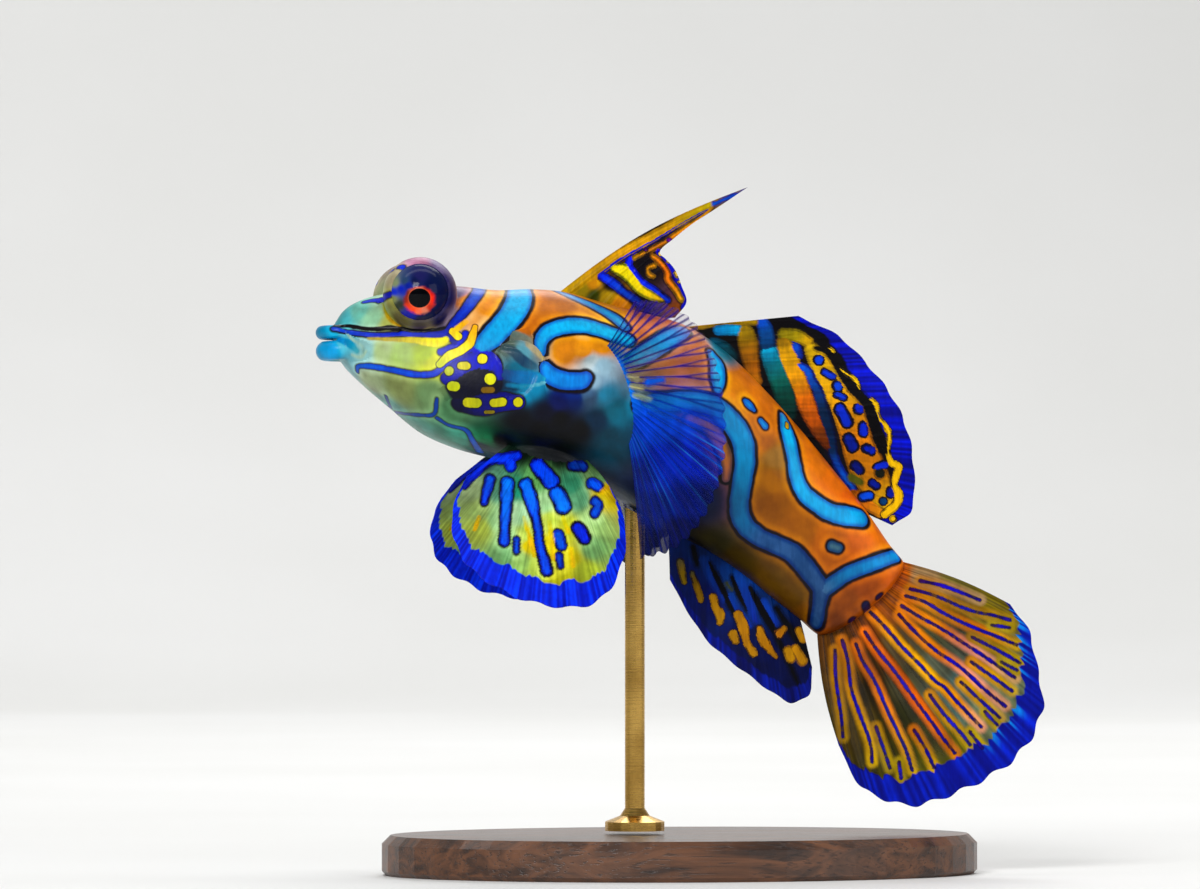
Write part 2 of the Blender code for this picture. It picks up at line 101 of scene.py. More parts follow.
# Softboxes: name, place, width and height, power, what they are turned to
SOFTBOXES = (
    ("key", (-0.28, -0.58, 0.42), (0.26, 0.26), 4.2, MODEL_MIDDLE),
    ("fill", (0.50, -0.50, 0.25), (0.40, 0.40), 1.1, MODEL_MIDDLE),
    ("rim", (0.15, 0.40, 0.45), (0.40, 0.25), 1.4, MODEL_MIDDLE),
    ("backdrop_wash", (0.0, 0.10, 0.75), (1.2, 0.3), 4.0, (0, 0.8, 0.1)),
)

# Soft forms of the head: places in the side view, sizes in millimetres
LIP_X = 340
LIP_LINES = (333.5, 352.0)
LIP_RADII = (0.54, 0.76)
LIP_REACH = 1.4
LIP_TURN = 105
ORBIT_PLACE = (421, 296)
ORBIT_RADIUS = 2.95
ORBIT_OUT = 3.2
PUPIL = np.array((419.5, 298.0))
EYE_RADIUS = 2.45
EYE_OUT = 0.75
EYE_GAP = 0.12
EYE_SEAT = 0.15
# Rim round each eyeball: height, distance from the ball, width
EYE_RIM = (0.07, 0.32, 0.2)
FLAP_PLACE = (521, 360)
FLAP_RADII = (1.9, 1.5, 0.34)
MOUTH_SLIT = ((343, 327), (356, 329), (376, 331), (398, 331))
GILL_EDGE = ((500, 346), (522, 350), (533, 362), (533, 378), (524, 392), (508, 396))
NOSTRILS = ((364, 308), (378, 303))
# Swell at the root of the pectoral fin: height, half length, half width
SWELL = (0.6, 3.4, 1.7)

# How the skin is fused from its shells and smoothed
VOXEL = 0.11
SMOOTH_TURNS = 14
SMOOTH_STEPS = (0.55, -0.56)
TAIL_CAP = 1.3

# Painting: how many side-view units blend as far as one millimetre of skin, how far a stroke
# on a fin is felt, how strongly the nearest colour zone wins, and half the width of a
# sharp edge
BLEND_SCALE = 12
FLAT_REACH = 12
BLEND_SOFTNESS = 2.2
SHARP_EDGE = 0.04
OUTLINE = "#0c0710"

# Stations of the body: back (x, y), belly (x, y), half width, taper towards the back
STATIONS = (
    (334, 327, 339, 358, 1.30, 0.10),
    (345, 311, 349, 371, 2.15, 0.25),
    (362, 301, 367, 388, 3.00, 0.32),
    (387, 294, 391, 408, 3.90, 0.32),
    (416, 289, 422, 433, 4.80, 0.29),
    (455, 287, 455, 448, 5.60, 0.24),
    (495, 291, 487, 457, 6.05, 0.20),
    (530, 290, 515, 463, 6.20, 0.16),
    (565, 293, 545, 470, 6.20, 0.12),
    (605, 304, 577, 480, 6.00, 0.10),
    (645, 314, 608, 494, 5.70, 0.08),
    (687, 327, 640, 513, 5.30, 0.06),
    (727, 354, 672, 533, 4.85, 0.04),
    (764, 390, 706, 550, 4.35, 0.02),
    (800, 430, 742, 574, 3.75, 0.00),
    (833, 470, 773, 599, 3.10, 0.00),
    (866, 511, 799, 619, 2.45, 0.00),
    (889, 544, 811, 630, 1.90, 0.00),
    (903, 561, 816, 634, 1.50, 0.00),
)

# Outlines of the fins, from the first ray to the last
FIRST_DORSAL_TIPS = (
    (748, 187), (717, 208), (695, 222), (677, 236), (661, 250), (667, 259), (675, 270),
    (682, 285), (687, 302), (675, 318),
)
SECOND_DORSAL_TIPS = (
    (799, 316), (840, 335), (869, 364), (892, 395), (908, 429), (916, 468), (914, 510), (893, 526),
)
ANAL_TIPS = (
    (670, 580), (689, 614), (710, 644), (736, 667), (763, 688), (790, 704), (810, 695), (813, 668),
)
PECTORAL_TIPS = (
    (634, 302), (663, 304), (692, 322), (712, 354), (722, 395), (725, 440), (719, 482), (702, 520),
    (674, 549), (640, 559),
)
PECTORAL_REACH = (8.5, 9.6, 10.6, 11.2, 11.2, 10.7, 9.8, 8.6, 7.5, 6.9)
CAUDAL_TIPS = (
    (1011, 605), (1031, 631), (1040, 668), (1046, 707), (1034, 740), (1011, 766), (980, 785),
    (948, 799), (916, 808), (884, 802), (857, 784), (839, 746),
)
PELVIC_TIPS = (
    (468, 477), (457, 499), (453, 524), (459, 549), (473, 569), (495, 585), (522, 598),
    (552, 605), (582, 606), (606, 594), (620, 570), (626, 541), (621, 510), (607, 483),
)

# Roots of the fins: station spans of the body, or places in the side view
FIRST_DORSAL_ROOT = (7.95, 10.6)
SECOND_DORSAL_ROOT = (11.0, 16.1)
ANAL_ROOT = (11.9, 16.1)
PECTORAL_ROOT = ((600, 353), (611, 385), (624, 426))
PELVIC_ROOT = (6.9, 8.85)
PELVIC_ROOT_Y = 456
PELVIC_DROP = -0.88
PELVIC_SPLAY = math.radians(36)
FAR_PELVIC_SPLAY = math.radians(46)
FAR_PELVIC_SHIFT = 5
PELVIC_LOBE_RADII = (3.4, 1.1, 1.6)

# Ground colours of the skin, as zones of (x, y, colour), with painted shade and a painted
# highlight among them
SKIN_GROUND_AND_PAINTED_LIGHT = (
    # lips, snout and cheek
    (328, 330, "#22aee8"), (330, 350, "#1fa0e0"), (345, 343, "#66bcd0"), (346, 365, "#7fb3b8"),
    (345, 318, "#5ab0b8"), (358, 312, "#74bfae"), (372, 318, "#93c4a0"), (390, 323, "#a8b060"),
    (365, 350, "#8fc0c0"), (400, 353, "#a8c870"), (425, 352, "#b4d04a"), (436, 362, "#d0d830"),
    (382, 350, "#a8bf86"), (400, 388, "#8a9a62"), (370, 382, "#9fb088"), (430, 393, "#749868"),
    (420, 428, "#5aa294"), (455, 440, "#4ca088"), (452, 408, "#4a7a54"), (485, 440, "#2c7850"),
    # dome over the eye: near the eyeball, then its outer part
    (391, 300, "#888a4c"), (400, 321, "#605a34"), (421, 327, "#3c3440"), (441, 319, "#1c1c48"),
    (448, 299, "#18184c"), (441, 279, "#20205c"), (421, 271, "#50386c"), (401, 277, "#908864"),
    (384, 300, "#a4ac74"), (393, 276, "#a0987c"), (418, 261, "#b8829e"), (441, 267, "#7c7096"),
    (457, 294, "#76688e"), (450, 318, "#94849a"), (425, 333, "#a09468"), (376, 292, "#a2a884"),
    # nape and shoulder
    (480, 322, "#f0b070"), (490, 310, "#e8954a"), (465, 300, "#d08040"), (500, 295, "#f0a038"),
    (530, 325, "#c06a30"), (533, 300, "#d8803a"), (548, 312, "#c8783c"), (560, 303, "#c07438"),
    (590, 316, "#f09a38"), (612, 321, "#f5a840"), (565, 350, "#e08c38"), (585, 352, "#f2a040"),
    (600, 346, "#e09038"), (640, 330, "#e07c34"), (660, 320, "#d07030"), (690, 360, "#d08058"),
    (700, 380, "#e09048"), (720, 350, "#1a6a80"), (700, 345, "#c87848"),
    # gill cover, throat and the base of the pectoral fin
    (508, 345, "#4a5c50"), (522, 352, "#5f98a8"), (520, 368, "#2a6f8c"), (538, 345, "#a89470"),
    (530, 385, "#2a86b0"), (508, 385, "#12304c"), (560, 402, "#0a1450"), (590, 396, "#38506c"),
    # near-black throat zones: the throat's dark navy with painted shade over it
    (540, 430, "#010104"), (500, 440, "#010208"), (580, 430, "#010206"), (520, 418, "#02030c"),
    (560, 418, "#010206"), (565, 440, "#010206"), (545, 412, "#04061c"), (480, 445, "#041c28"),
    # pale grey-blue zones at (590, 360), (594, 380) and (602, 366), on the swell at the pectoral
    # fin's base: painted highlight
    (590, 360, "#a8bcc2"), (594, 380, "#7a9ab0"), (606, 396, "#3c80a0"), (616, 412, "#1c6880"),
    (610, 440, "#083c50"), (598, 420, "#0c2c48"), (575, 398, "#0c1c58"), (602, 366, "#90b0c0"),
    # flank under the pectoral fin
    (660, 430, "#06206a"), (680, 470, "#06206a"), (660, 500, "#061c50"), (700, 500, "#081c48"),
    # rear flank and tail stalk
    (735, 393, "#f09030"), (755, 385, "#e0803a"), (770, 420, "#e8823a"), (762, 440, "#d07c44"),
    (775, 458, "#a87c44"), (772, 480, "#a8682a"), (775, 505, "#8a5020"), (800, 530, "#a05c24"),
    (830, 545, "#c06424"), (860, 545, "#f07428"), (885, 545, "#f07c2c"), (812, 462, "#f08434"),
    (835, 485, "#f07c34"), (850, 500, "#f06c28"), (715, 545, "#2c2a14"), (735, 560, "#3c2e0e"),
    (770, 585, "#5c4014"), (795, 600, "#5a3c10"), (690, 545, "#18160e"), (805, 610, "#6a4010"),
    (870, 590, "#b0521a"), (850, 605, "#90440e"), (838, 632, "#6a300c"), (895, 580, "#d8662a"),
    # dark zones low on the belly: painted shade over the belly's blue-tinted colour
    (640, 520, "#062040"), (600, 500, "#041830"), (520, 460, "#03040c"),
)
# Colours along the middle of the belly, as (station, colour); those from station 6.0 to 10.5 are
# the throat's dark navy darkened by painted shade
UNDERSIDE_WITH_SHADE = (
    (3.0, "#5a9c94"), (4.6, "#4c9080"), (6.0, "#0a2c38"), (7.5, "#04080e"), (9.0, "#06121c"),
    (10.5, "#0a2838"), (12.0, "#1c2a20"), (14.0, "#3a2c12"),
)

# Strokes: points as (x, y, half width), one colour or several along it, width of its outline
FACE_STROKES_AND_HIGHLIGHTS = (
    (((333, 328.5, 1.8), (356, 333, 2.6), (377, 334.5, 3), (397, 333.5, 3), (420, 334, 3.2),
      (436, 334.5, 3.4), (447, 332, 3.6), (455, 322, 4.2), (467, 308, 5), (477, 294, 6),
      (480, 288, 5.5)), ("#1a6cf0", "#1238e0", "#1038d8", "#0c2cd0", "#0c40d8", "#1878d8"), 1.5),
    (((447, 333, 3), (452, 339, 3), (457, 344, 2.4)), "#0c1cb0", 0.8),
    (((364, 302, 2.4), (372, 300.5, 3), (380, 300, 3.2), (387, 296, 3), (398, 290.5, 3),
      (410, 286, 2.6)), ("#1458f0", "#0c30e0", "#0c1cc0", "#0a1490"), 0.8),
    (((399, 267.5, 2.6), (403, 267.5, 3), (410, 272.5, 2.4)), ("#0c40f0", "#1050f8"), 0.6),
    (((389, 274.5, 1.8), (394, 270.5, 1.8)), "#0c38e8", 0.4),
    (((340, 340, 3), (350, 344, 4), (357, 351, 3)), ("#1c8cd0", "#3c9cc0", "#5aa8b0"), 0),
    # the next two pale strokes behind the lips are painted highlights on the skin's folds
    (((346, 332, 1.2), (353, 340, 1.6), (362, 346, 1.6), (364, 354, 1.2)),
     ("#b8d0b0", "#a8c8b8", "#88b0a0"), 0),
    (((352, 355, 1.4), (361, 357, 1.6), (366, 351, 1.2)), ("#a0c0b0", "#a8c4a8"), 0),
    (((383, 303, 1.4), (386, 313, 1.8), (392, 321, 2), (400, 326, 1.6)),
     ("#7c8428", "#b08c20", "#c8922c"), 0),
    (((357.5, 372, 1.4), (358, 367, 2), (366, 366, 2.4), (379, 367.5, 2.5), (397, 371, 2.6),
      (415, 374.3, 2.8), (431, 374.3, 2.8), (441, 369, 3), (449, 361, 3), (461, 353.5, 3),
      (473, 348, 3.2)), ("#3a90e8", "#1f78f0", "#1a60f0", "#1440e8", "#0c1ce0"), 0.8),
    (((386, 396, 1.4), (389, 404, 1.6), (396, 412, 1.8), (420, 415, 1.8), (434, 414, 1.8),
      (437, 399, 1.6)), ("#3a6aa8", "#3468b8"), 0.5),
    (((437, 418, 1.7), (448, 425, 1.9), (460, 428, 2.1), (467, 431, 2.3), (473, 441, 2.8),
      (480, 452, 4)), ("#346cb8", "#2a80e8"), 0.6),
    (((441, 352, 3.4), (449, 347.5, 2.4), (457.5, 344.5, 2.2), (463, 337.5, 2.8),
      (465.5, 333, 2.8)), "#0c2ce8", 0.8),
    (((448, 378, 7), (458, 369, 9), (474, 362, 10), (488, 364, 9)), ("#0810a8", "#0a18d8"), 0.8),
    (((452, 386, 7), (464, 390, 14), (480, 380, 15), (490, 384, 13)), "#05051c", 0),
    (((462, 402, 10), (482, 404, 12), (500, 402, 10), (518, 402, 7)), ("#050530", "#0a10a0"), 1),
    (((474, 349, 3.5), (486, 353, 4), (495, 362, 5), (498, 376, 4.5), (497, 388, 3)),
     ("#0a14e0", "#0a14e0", "#0810a0"), 1.5),
    (((514, 334, 4), (524, 339, 5), (536, 349, 4.5), (543, 358, 3)),
     ("#5a6a60", "#7a7c6c", "#b8a884", "#c8b07a"), 0),
    (((502, 346, 4), (514, 352, 5), (524, 361, 5.5), (534, 366, 4)),
     ("#3c5050", "#2c4858", "#24405c", "#3c6478"), 0),
    (((507, 375, 5.5), (520, 377, 6.5), (534, 378, 6), (545, 378, 4)),
     ("#0e4c88", "#2272b0", "#2c80b8", "#4aa0c0"), 0),
    (((508, 385, 1.8), (524, 386.5, 2), (538, 384, 2), (547, 381, 1.6)),
     ("#2a78a0", "#58a8c0", "#80c4d0"), 0),
)
BODY_BANDS = (
    (((519, 289, 11), (519, 300, 13), (513, 313, 13), (503, 325, 12.5), (492, 337, 11.5),
      (482, 346, 9)), ("#10c0f2", "#189fe0"), 3.6),
    (((557, 291, 3), (568, 295, 5), (585, 302, 6), (602, 310, 6.5), (615, 318, 6.5),
      (625, 327, 5)), ("#1c8fd0", "#19a3d8"), 3.2),
    (((541, 352, 5), (541, 342, 6.5), (548, 332, 8), (561, 327, 8.5), (577, 325, 9),
      (594, 328, 9), (612, 334, 8.5), (628, 340, 7)), ("#22a8ea", "#12c0ee"), 3.4),
    (((545, 367, 6), (552, 376, 9), (566, 381, 9), (580, 381, 8.5), (586, 378, 6.5)),
     ("#2a9cf0", "#1183e6"), 3.4),
    (((634, 361, 8), (645, 354, 10), (660, 344, 10.5), (676, 334, 9.5), (684, 331, 7)),
     ("#16b4e4", "#1a96ee"), 3.4),
    (((711, 353, 4.5), (717, 365, 8), (718, 378, 8), (718, 388, 5)), "#12b2ee", 3.2),
    (((640, 404, 8), (665, 402, 9), (690, 401, 9.5), (710, 404, 10), (723, 413, 11),
      (737, 429, 11.5), (744, 445, 11)), ("#1c9ae0", "#1aa0dc"), 3.4),
    (((744, 445, 11), (745, 462, 10.5), (742, 482, 10), (739, 500, 9.5)),
     ("#1aa0dc", "#2878a8"), 3.4),
    (((739, 500, 9.5), (740, 515, 9.5), (747, 528, 9.5), (760, 538, 9)),
     ("#2878a8", "#39598a"), 3.4),
    (((760, 538, 9), (776, 545, 9), (791, 552, 9.5), (802, 563, 9.5), (813, 577, 9),
      (821, 589, 8.5), (819, 606, 7), (816, 624, 6.5)), ("#39598a", "#35507a"), 3.4),
    (((824, 590, 8), (842, 577, 7.5), (861, 568, 7.5), (878, 562, 7), (895, 556, 6.5)),
     ("#45668c", "#1aa4ee"), 3.2),
    (((783, 416, 4.5), (787, 430, 8), (791, 447, 7.5), (794, 462, 7), (797, 478, 7.5),
      (804, 493, 8), (817, 504, 8.5), (832, 513, 9), (848, 516, 10), (861, 518, 9)),
     ("#1ab8ee", "#12b0f0"), 3.4),
    (((745, 401, 2.5), (749, 405, 4.2), (754, 410, 2.2)), "#2a9cf0", 2),
    (((761, 421, 3), (765, 426, 3.6)), "#2fa8e8", 1.5),
    (((832, 546, 5), (838, 548, 5)), "#4f7280", 2.5),
    (((690, 420, 6), (705, 425, 7), (717, 437, 7.5), (724, 452, 7), (727, 466, 5.5),
      (726, 478, 4)), ("#d8902a", "#c87a60"), 3.4),
    (((880, 596, 3.5),), "#2a1a4a", 1),
    (((867, 611, 4), (871, 611, 4)), "#2a1a4a", 1),
    (((892, 609.6, 3),), "#2a1a4a", 1),
    (((852, 620, 4),), "#2a1a4a", 1),
)

# Yellow stripes and spots that lie over the blue ones, and the black line of the mouth
UPPER_MARKS = (
    (((368, 338.5, 1.4), (391, 339.5, 2.2), (413, 340, 3), (427, 342, 4.5), (441, 342, 4.5),
      (446, 339.5, 3.2)), ("#a0904a", "#b8a020", "#e8d810", "#f8e808", "#f8f010"), 0),
    (((440, 364, 3.8), (449, 356, 4.4), (461, 350.5, 4.2), (470, 343, 4), (473, 334, 3.4),
      (475, 327, 2.6)), ("#d0dc10", "#f0e008", "#f8e008", "#f8c020", "#f0b050"), 0.6),
    (((453, 331.5, 4), (458, 336.5, 4)), ("#f8d010", "#f8e008"), 0.6),
    (((457, 329, 3.4), (466, 322, 3)), ("#f8c830", "#f0b060"), 0),
    (((482.5, 359, 5),), "#f8e808", 0.8),
    (((461.5, 365.7, 4.2), (466, 365.7, 4.2)), "#d8cc10", 0.8),
    (((449, 371, 4.6),), "#b8c018", 0.8),
    (((490.5, 379, 5.6),), "#d8d810", 0.8),
    (((452, 386, 4.6), (455.5, 386.5, 4.6)), "#b8c018", 0.8),
    (((484, 390, 3), (492, 390, 3)), "#7a5a14", 0.5),
    (((467, 402.5, 4.5), (477, 403, 4.2)), ("#c0bc18", "#a8ac18"), 0.8),
    (((494, 403, 4.4), (502, 402, 4.4)), "#c0bc18", 0.8),
    (((518, 402, 4.6),), "#d0c818", 0.8),
    (((486, 412, 2), (493, 412, 2)), "#7a6a18", 0.5),
    (((787, 424, 2), (787, 427, 2.2)), "#c9a040", 0.8),
    (((331, 325, 1.2), (347, 326, 1.6), (362, 328.5, 2), (376, 329.5, 2.2), (388, 327.5, 2),
      (401, 329, 2), (425, 330.5, 1.6), (444, 328, 1.2)), "#020103", 0.4),
)


def rgb(code):
    """Linear red, green and blue of a #rrggbb colour."""
    value = np.array([int(code[i:i + 2], 16) for i in (1, 3, 5)]) / 255
    return np.where(value < 0.04045, value / 12.92, ((value + 0.055) / 1.055) ** 2.4)


def paint_code(code):
    """A #rrggbb colour as a shader socket takes it."""
    return (*rgb(code), 1.0)


def shade_along(codes, share):
    """Colours at shares of a stroke's length, from one code or from several along it."""
    codes = (codes,) if isinstance(codes, str) else codes
    tints = np.array([rgb(code) for code in codes])
    at = share * (len(codes) - 1)
    return np.stack([np.interp(at, range(len(codes)), tints[:, k]) for k in range(3)], axis=-1)


def between(share, first, last):
    """Colours that go from the first code to the last by share."""
    return rgb(first) + (rgb(last) - rgb(first)) * share[:, None]


def mixed(colours, other, share):
    """Colours with other ones mixed in by share."""
    return colours * (1 - share[:, None]) + other * share[:, None]


def smooth_step(value, start, end):
    """A smooth rise from 0 at start to 1 at end."""
    share = np.clip((value - start) / (end - start), 0, 1)
    return share * share * (3 - 2 * share)


def unit(vectors):
    return vectors / np.linalg.norm(vectors, axis=-1, keepdims=True)


def aside(out):
    """Offsets across the fish, to its right."""
    return np.stack([0 * out, out, 0 * out], axis=-1)


def smooth_curve(points, share):
    """Points at shares of a Catmull-Rom curve through evenly spaced points."""
    points = np.asarray(points, float)
    last = len(points) - 1
    at = np.clip(np.asarray(share, float), 0, 1) * last
    i = np.minimum(at.astype(int), last - 1)
    t = (at - i)[..., None]
    held = np.vstack([2 * points[0] - points[1], points, 2 * points[last] - points[last - 1]])
    before, a, b, after = held[i], held[i + 1], held[i + 2], held[i + 3]
    return 0.5 * (
        2 * a + (b - before) * t
        + (2 * before - 5 * a + 4 * b - after) * t**2
        + (3 * a - before - 3 * b + after) * t**3
    )


def swing(x):
    """How far the rear of the fish swings to its left at side-view x."""
    share = np.maximum(0.0, (np.asarray(x, float) - SWING_FROM) / SWING_SPAN)
    return -TAIL_SWING * share ** 2


def place(x, y, out=0.0):
    """Points of the unbanked fish at lateral distance out that the side view shows at (x, y)."""
    x, y, out = np.broadcast_arrays(np.asarray(x, float), y, out)
    across = (x - SIDE_ORIGIN[0]) * UNIT
    height = (SIDE_ORIGIN[1] - y) * UNIT - BANK_HEIGHT
    z = (height + out * math.sin(BANK)) / math.cos(BANK)
    away = out * math.cos(BANK) + z * math.sin(BANK)
    return np.stack([(across - away * math.sin(AZIMUTH)) / math.cos(AZIMUTH), out, z], axis=-1)


def banked(points):
    """Points of the unbanked fish as they stand in the room."""
    x, y, z = np.moveaxis(points, -1, 0)
    c, s = math.cos(BANK), math.sin(BANK)
    return np.stack([x, y * c + z * s, z * c - y * s + BANK_HEIGHT], axis=-1)


def unbanked(points, free=False):
    """Points of the room in the unbanked fish; free ones are directions."""
    x, y, z = np.moveaxis(np.asarray(points, float), -1, 0)
    z = z if free else z - BANK_HEIGHT
    c, s = math.cos(BANK), math.sin(BANK)
    return np.stack([x, y * c - z * s, z * c + y * s], axis=-1)


def seen_at(points):
    """Side-view (x, y) of points of the unbanked fish, as the camera sees them."""
    ray = banked(points) - (TARGET - AHEAD * SIGHT)
    depth = ray @ AHEAD
    x = PICTURE[0] / 2 + FOCAL * (ray @ RIGHT) / depth
    y = PICTURE[1] / 2 - FOCAL * ray[..., 2] / depth
    return np.stack([x, y], axis=-1)


def sight_line(x, y):
    """Start and direction, in the unbanked fish, of the camera's line of sight through (x, y)."""
    ahead = AHEAD + RIGHT * (x - PICTURE[0] / 2) / FOCAL
    ahead = ahead + np.array((0, 0, 1)) * (PICTURE[1] / 2 - y) / FOCAL
    return unbanked(TARGET - AHEAD * SIGHT), unit(unbanked(ahead, free=True))


def section(s):
    """Centre, half-depth vector, half width and taper of the body at stations s."""
    row = smooth_curve(STATIONS, np.asarray(s, float) / TAIL_END)
    back = place(row[..., 0], row[..., 1], swing(row[..., 0]))
    belly = place(row[..., 2], row[..., 3], swing(row[..., 2]))
    return (back + belly) / 2, (back - belly) / 2, row[..., 4], row[..., 5]


def flank(s, rise, side):
    """Surface points at stations s, at share rise of the half depth, on side -1 or 1."""
    centre, up, width, taper = section(s)
    rise = np.asarray(rise, float)
    out = np.maximum(0.0, 1 - abs(rise) ** SQUARENESS) ** (1 / SQUARENESS) * (1 - taper * rise)
    point = centre + up * rise[..., None]
    point[..., 1] += side * width * out
    return point


def flank_at(x, y, steps=6):
    """Surface point of the near flank that the side view shows at (x, y)."""
    out = 0.0
    for _ in range(steps):
        target = place(x, y, out)
        low, high = 0.0, TAIL_END
        for _ in range(30):
            s = (low + high) / 2
            centre, up, _, _ = section(s)
            off = target - centre
            if off[0] * up[2] - off[2] * up[0] > 0:
                low = s
            else:
                high = s
        rise = (off[0] * up[0] + off[2] * up[2]) / (up[0] ** 2 + up[2] ** 2)
        rise = min(0.98, max(-0.98, rise))
        found = flank(s, rise, -1)
        out = found[1]
    return found


def mirrored(points):
    """Points moved to the near flank, on which the markings are laid."""
    x, y, z = np.moveaxis(points, -1, 0)
    middle = swing(x / UNIT + SIDE_ORIGIN[0])
    return np.stack([x, middle - abs(y - middle), z], axis=-1)


def own_shift(points):
    """Moves the points of the far flank a little, so that its markings are its own."""
    x, y, z = np.moveaxis(points, -1, 0)
    far = smooth_step(y - swing(x / UNIT + SIDE_ORIGIN[0]), 0.5, 3.0)
    moved = mirrored(points)
    moved[..., 0] += far * 0.35 * np.sin(0.55 * x + 0.8 * z)
    moved[..., 2] += far * 0.35 * np.sin(0.7 * z - 0.5 * x + 1.0)
    return moved


def chain_field(points, chain, reach):
    """How deep points lie inside a stroke, and their share of its length.
    chain has one (place, half width) row a point; farther off than reach the depth is -reach."""
    depth = np.full(len(points), -reach)
    share = np.zeros(len(points))
    spots, radii = chain[:, :-1], chain[:, -1]
    centre = spots.mean(axis=0)
    span = np.linalg.norm(spots - centre, axis=1).max() + radii.max() + reach
    near = np.flatnonzero(((points - centre) ** 2).sum(axis=1) < span**2)
    if not len(near):
        return depth, share
    close = points[near]
    best, at = np.full(len(near), -reach), np.zeros(len(near))
    steps = max(1, len(chain) - 1)
    for k in range(steps):
        a, b = spots[k], spots[min(k + 1, len(spots) - 1)]
        along = b - a
        size = max(along @ along, 1e-9)
        t = np.clip((close - a) @ along / size, 0, 1)
        off = close - a - t[:, None] * along
        radius = radii[k] + (radii[min(k + 1, len(radii) - 1)] - radii[k]) * t
        value = radius - np.sqrt((off**2).sum(axis=1))
        better = value > best
        best[better] = value[better]
        at[better] = (k + t[better]) / steps
    depth[near], share[near] = best, at
    return depth, share


def rounded(points, steps=4):
    """A stroke's points with more between them, on a smooth curve."""
    if len(points) < 3:
        return np.asarray(points, float)
    return smooth_curve(points, np.linspace(0, 1, (len(points) - 1) * steps + 1))


def paint(points, strokes, lift, reach=1.2):
    """Depth inside the nearest stroke, its colour and its outline's width, at each point.
    lift turns a stroke's (x, y, half width) rows into rows of the same kind as points."""
    depth = np.full(len(points), -reach)
    colour = np.zeros((len(points), 3))
    outline = np.zeros(len(points))
    for chain, codes, width in strokes:
        value, share = chain_field(points, lift(rounded(chain)), reach)
        better = value > depth
        depth[better] = value[better]
        colour[better] = shade_along(codes, share[better])
        outline[better] = width * UNIT
    return depth, colour, outline


def blend_places(points, places, colours, softness=BLEND_SOFTNESS):
    """A colour at each point, blended from those of the nearest places."""
    total = np.zeros(len(points))
    blend = np.zeros((len(points), 3))
    for spot, colour in zip(places, colours):
        weight = (((points - spot) ** 2).sum(axis=1) + 0.02) ** -softness
        total += weight
        blend += weight[:, None] * colour
    return blend / total[:, None]


def blend_zones(view, zones, scale=BLEND_SCALE, softness=BLEND_SOFTNESS, origin=(0, 0)):
    """A colour at each side-view place, blended from zones of (x, y, colour)."""
    places = np.array([zone[:2] for zone in zones], float) - origin
    colours = [rgb(code) for _, _, code in zones]
    return blend_places(view / scale, places / scale, colours, softness)


def make_mesh(name, points, faces):
    """A smooth-shaded object from points of the unbanked fish."""
    mesh = bpy.data.meshes.new(name)
    mesh.from_pydata((banked(points) * TO_METRES).tolist(), [], faces)
    mesh.shade_smooth()
    return put_in_scene(name, mesh)


def put_in_scene(name, data):
    obj = bpy.data.objects.new(name, data)
    bpy.context.scene.collection.objects.link(obj)
    return obj


def store(obj, **values):
    """Keeps numbers or colours with a mesh's points, for its material to read."""
    for name, value in values.items():
        kind = "FLOAT" if value.ndim == 1 else "FLOAT_COLOR"
        layer = obj.data.attributes.new(name, kind, "POINT")
        if kind == "FLOAT":
            layer.data.foreach_set("value", value.astype(np.float32))
        else:
            opaque = np.ones((len(value), 1))
            flat = np.hstack([value, opaque]).astype(np.float32).ravel()
            layer.data.foreach_set("color", flat)


def ring_faces(rings, columns):
    """Faces of a closed tube of rings, with its two ends."""
    faces = []
    for i in range(rings - 1):
        for j in range(columns):
            k = (j + 1) % columns
            faces.append((i * columns + j, i * columns + k, (i + 1) * columns + k,
                          (i + 1) * columns + j))
    faces.append(tuple(reversed(range(columns))))
    faces.append(tuple(range((rings - 1) * columns, rings * columns)))
    return faces


def body_shell(rings=190, columns=96):
    """The lofted body, its tail end rounded off."""
    angle = 2 * np.pi * (np.arange(columns) + 0.5) / columns
    rise = np.sign(np.sin(angle)) * abs(np.sin(angle)) ** (2 / SQUARENESS)
    out = np.sign(np.cos(angle)) * abs(np.cos(angle)) ** (2 / SQUARENESS)
    stations = np.linspace(0, TAIL_END, rings)
    centre, up, width, taper = section(stations)
    along = unit(centre[-1] - centre[-2])
    for share in np.linspace(0.15, 0.98, 7):
        shrink = math.sqrt(1 - share**2)
        centre = np.vstack([centre, centre[rings - 1] + along * share * TAIL_CAP])
        up = np.vstack([up, up[rings - 1] * shrink])
        width = np.append(width, width[rings - 1] * shrink)
        taper = np.append(taper, 0)
    points = centre[:, None] + up[:, None] * rise[None, :, None]
    points[..., 1] += width[:, None] * out * (1 - taper[:, None] * rise)
    return points.reshape(-1, 3), ring_faces(len(centre), columns)


def ball(centre, radii, axes=np.eye(3), rings=32, columns=48):
    """A ball with these half axes along three directions."""
    tall = np.linspace(-1, 1, rings) * math.pi / 2 * 0.999
    turn = 2 * np.pi * np.arange(columns) / columns
    local = np.stack([
        np.cos(tall)[:, None] * np.cos(turn),
        np.cos(tall)[:, None] * np.sin(turn),
        np.sin(tall)[:, None] * np.ones(columns),
    ], axis=-1)
    points = centre + (local * radii) @ np.asarray(axes)
    return points.reshape(-1, 3), ring_faces(rings, columns)


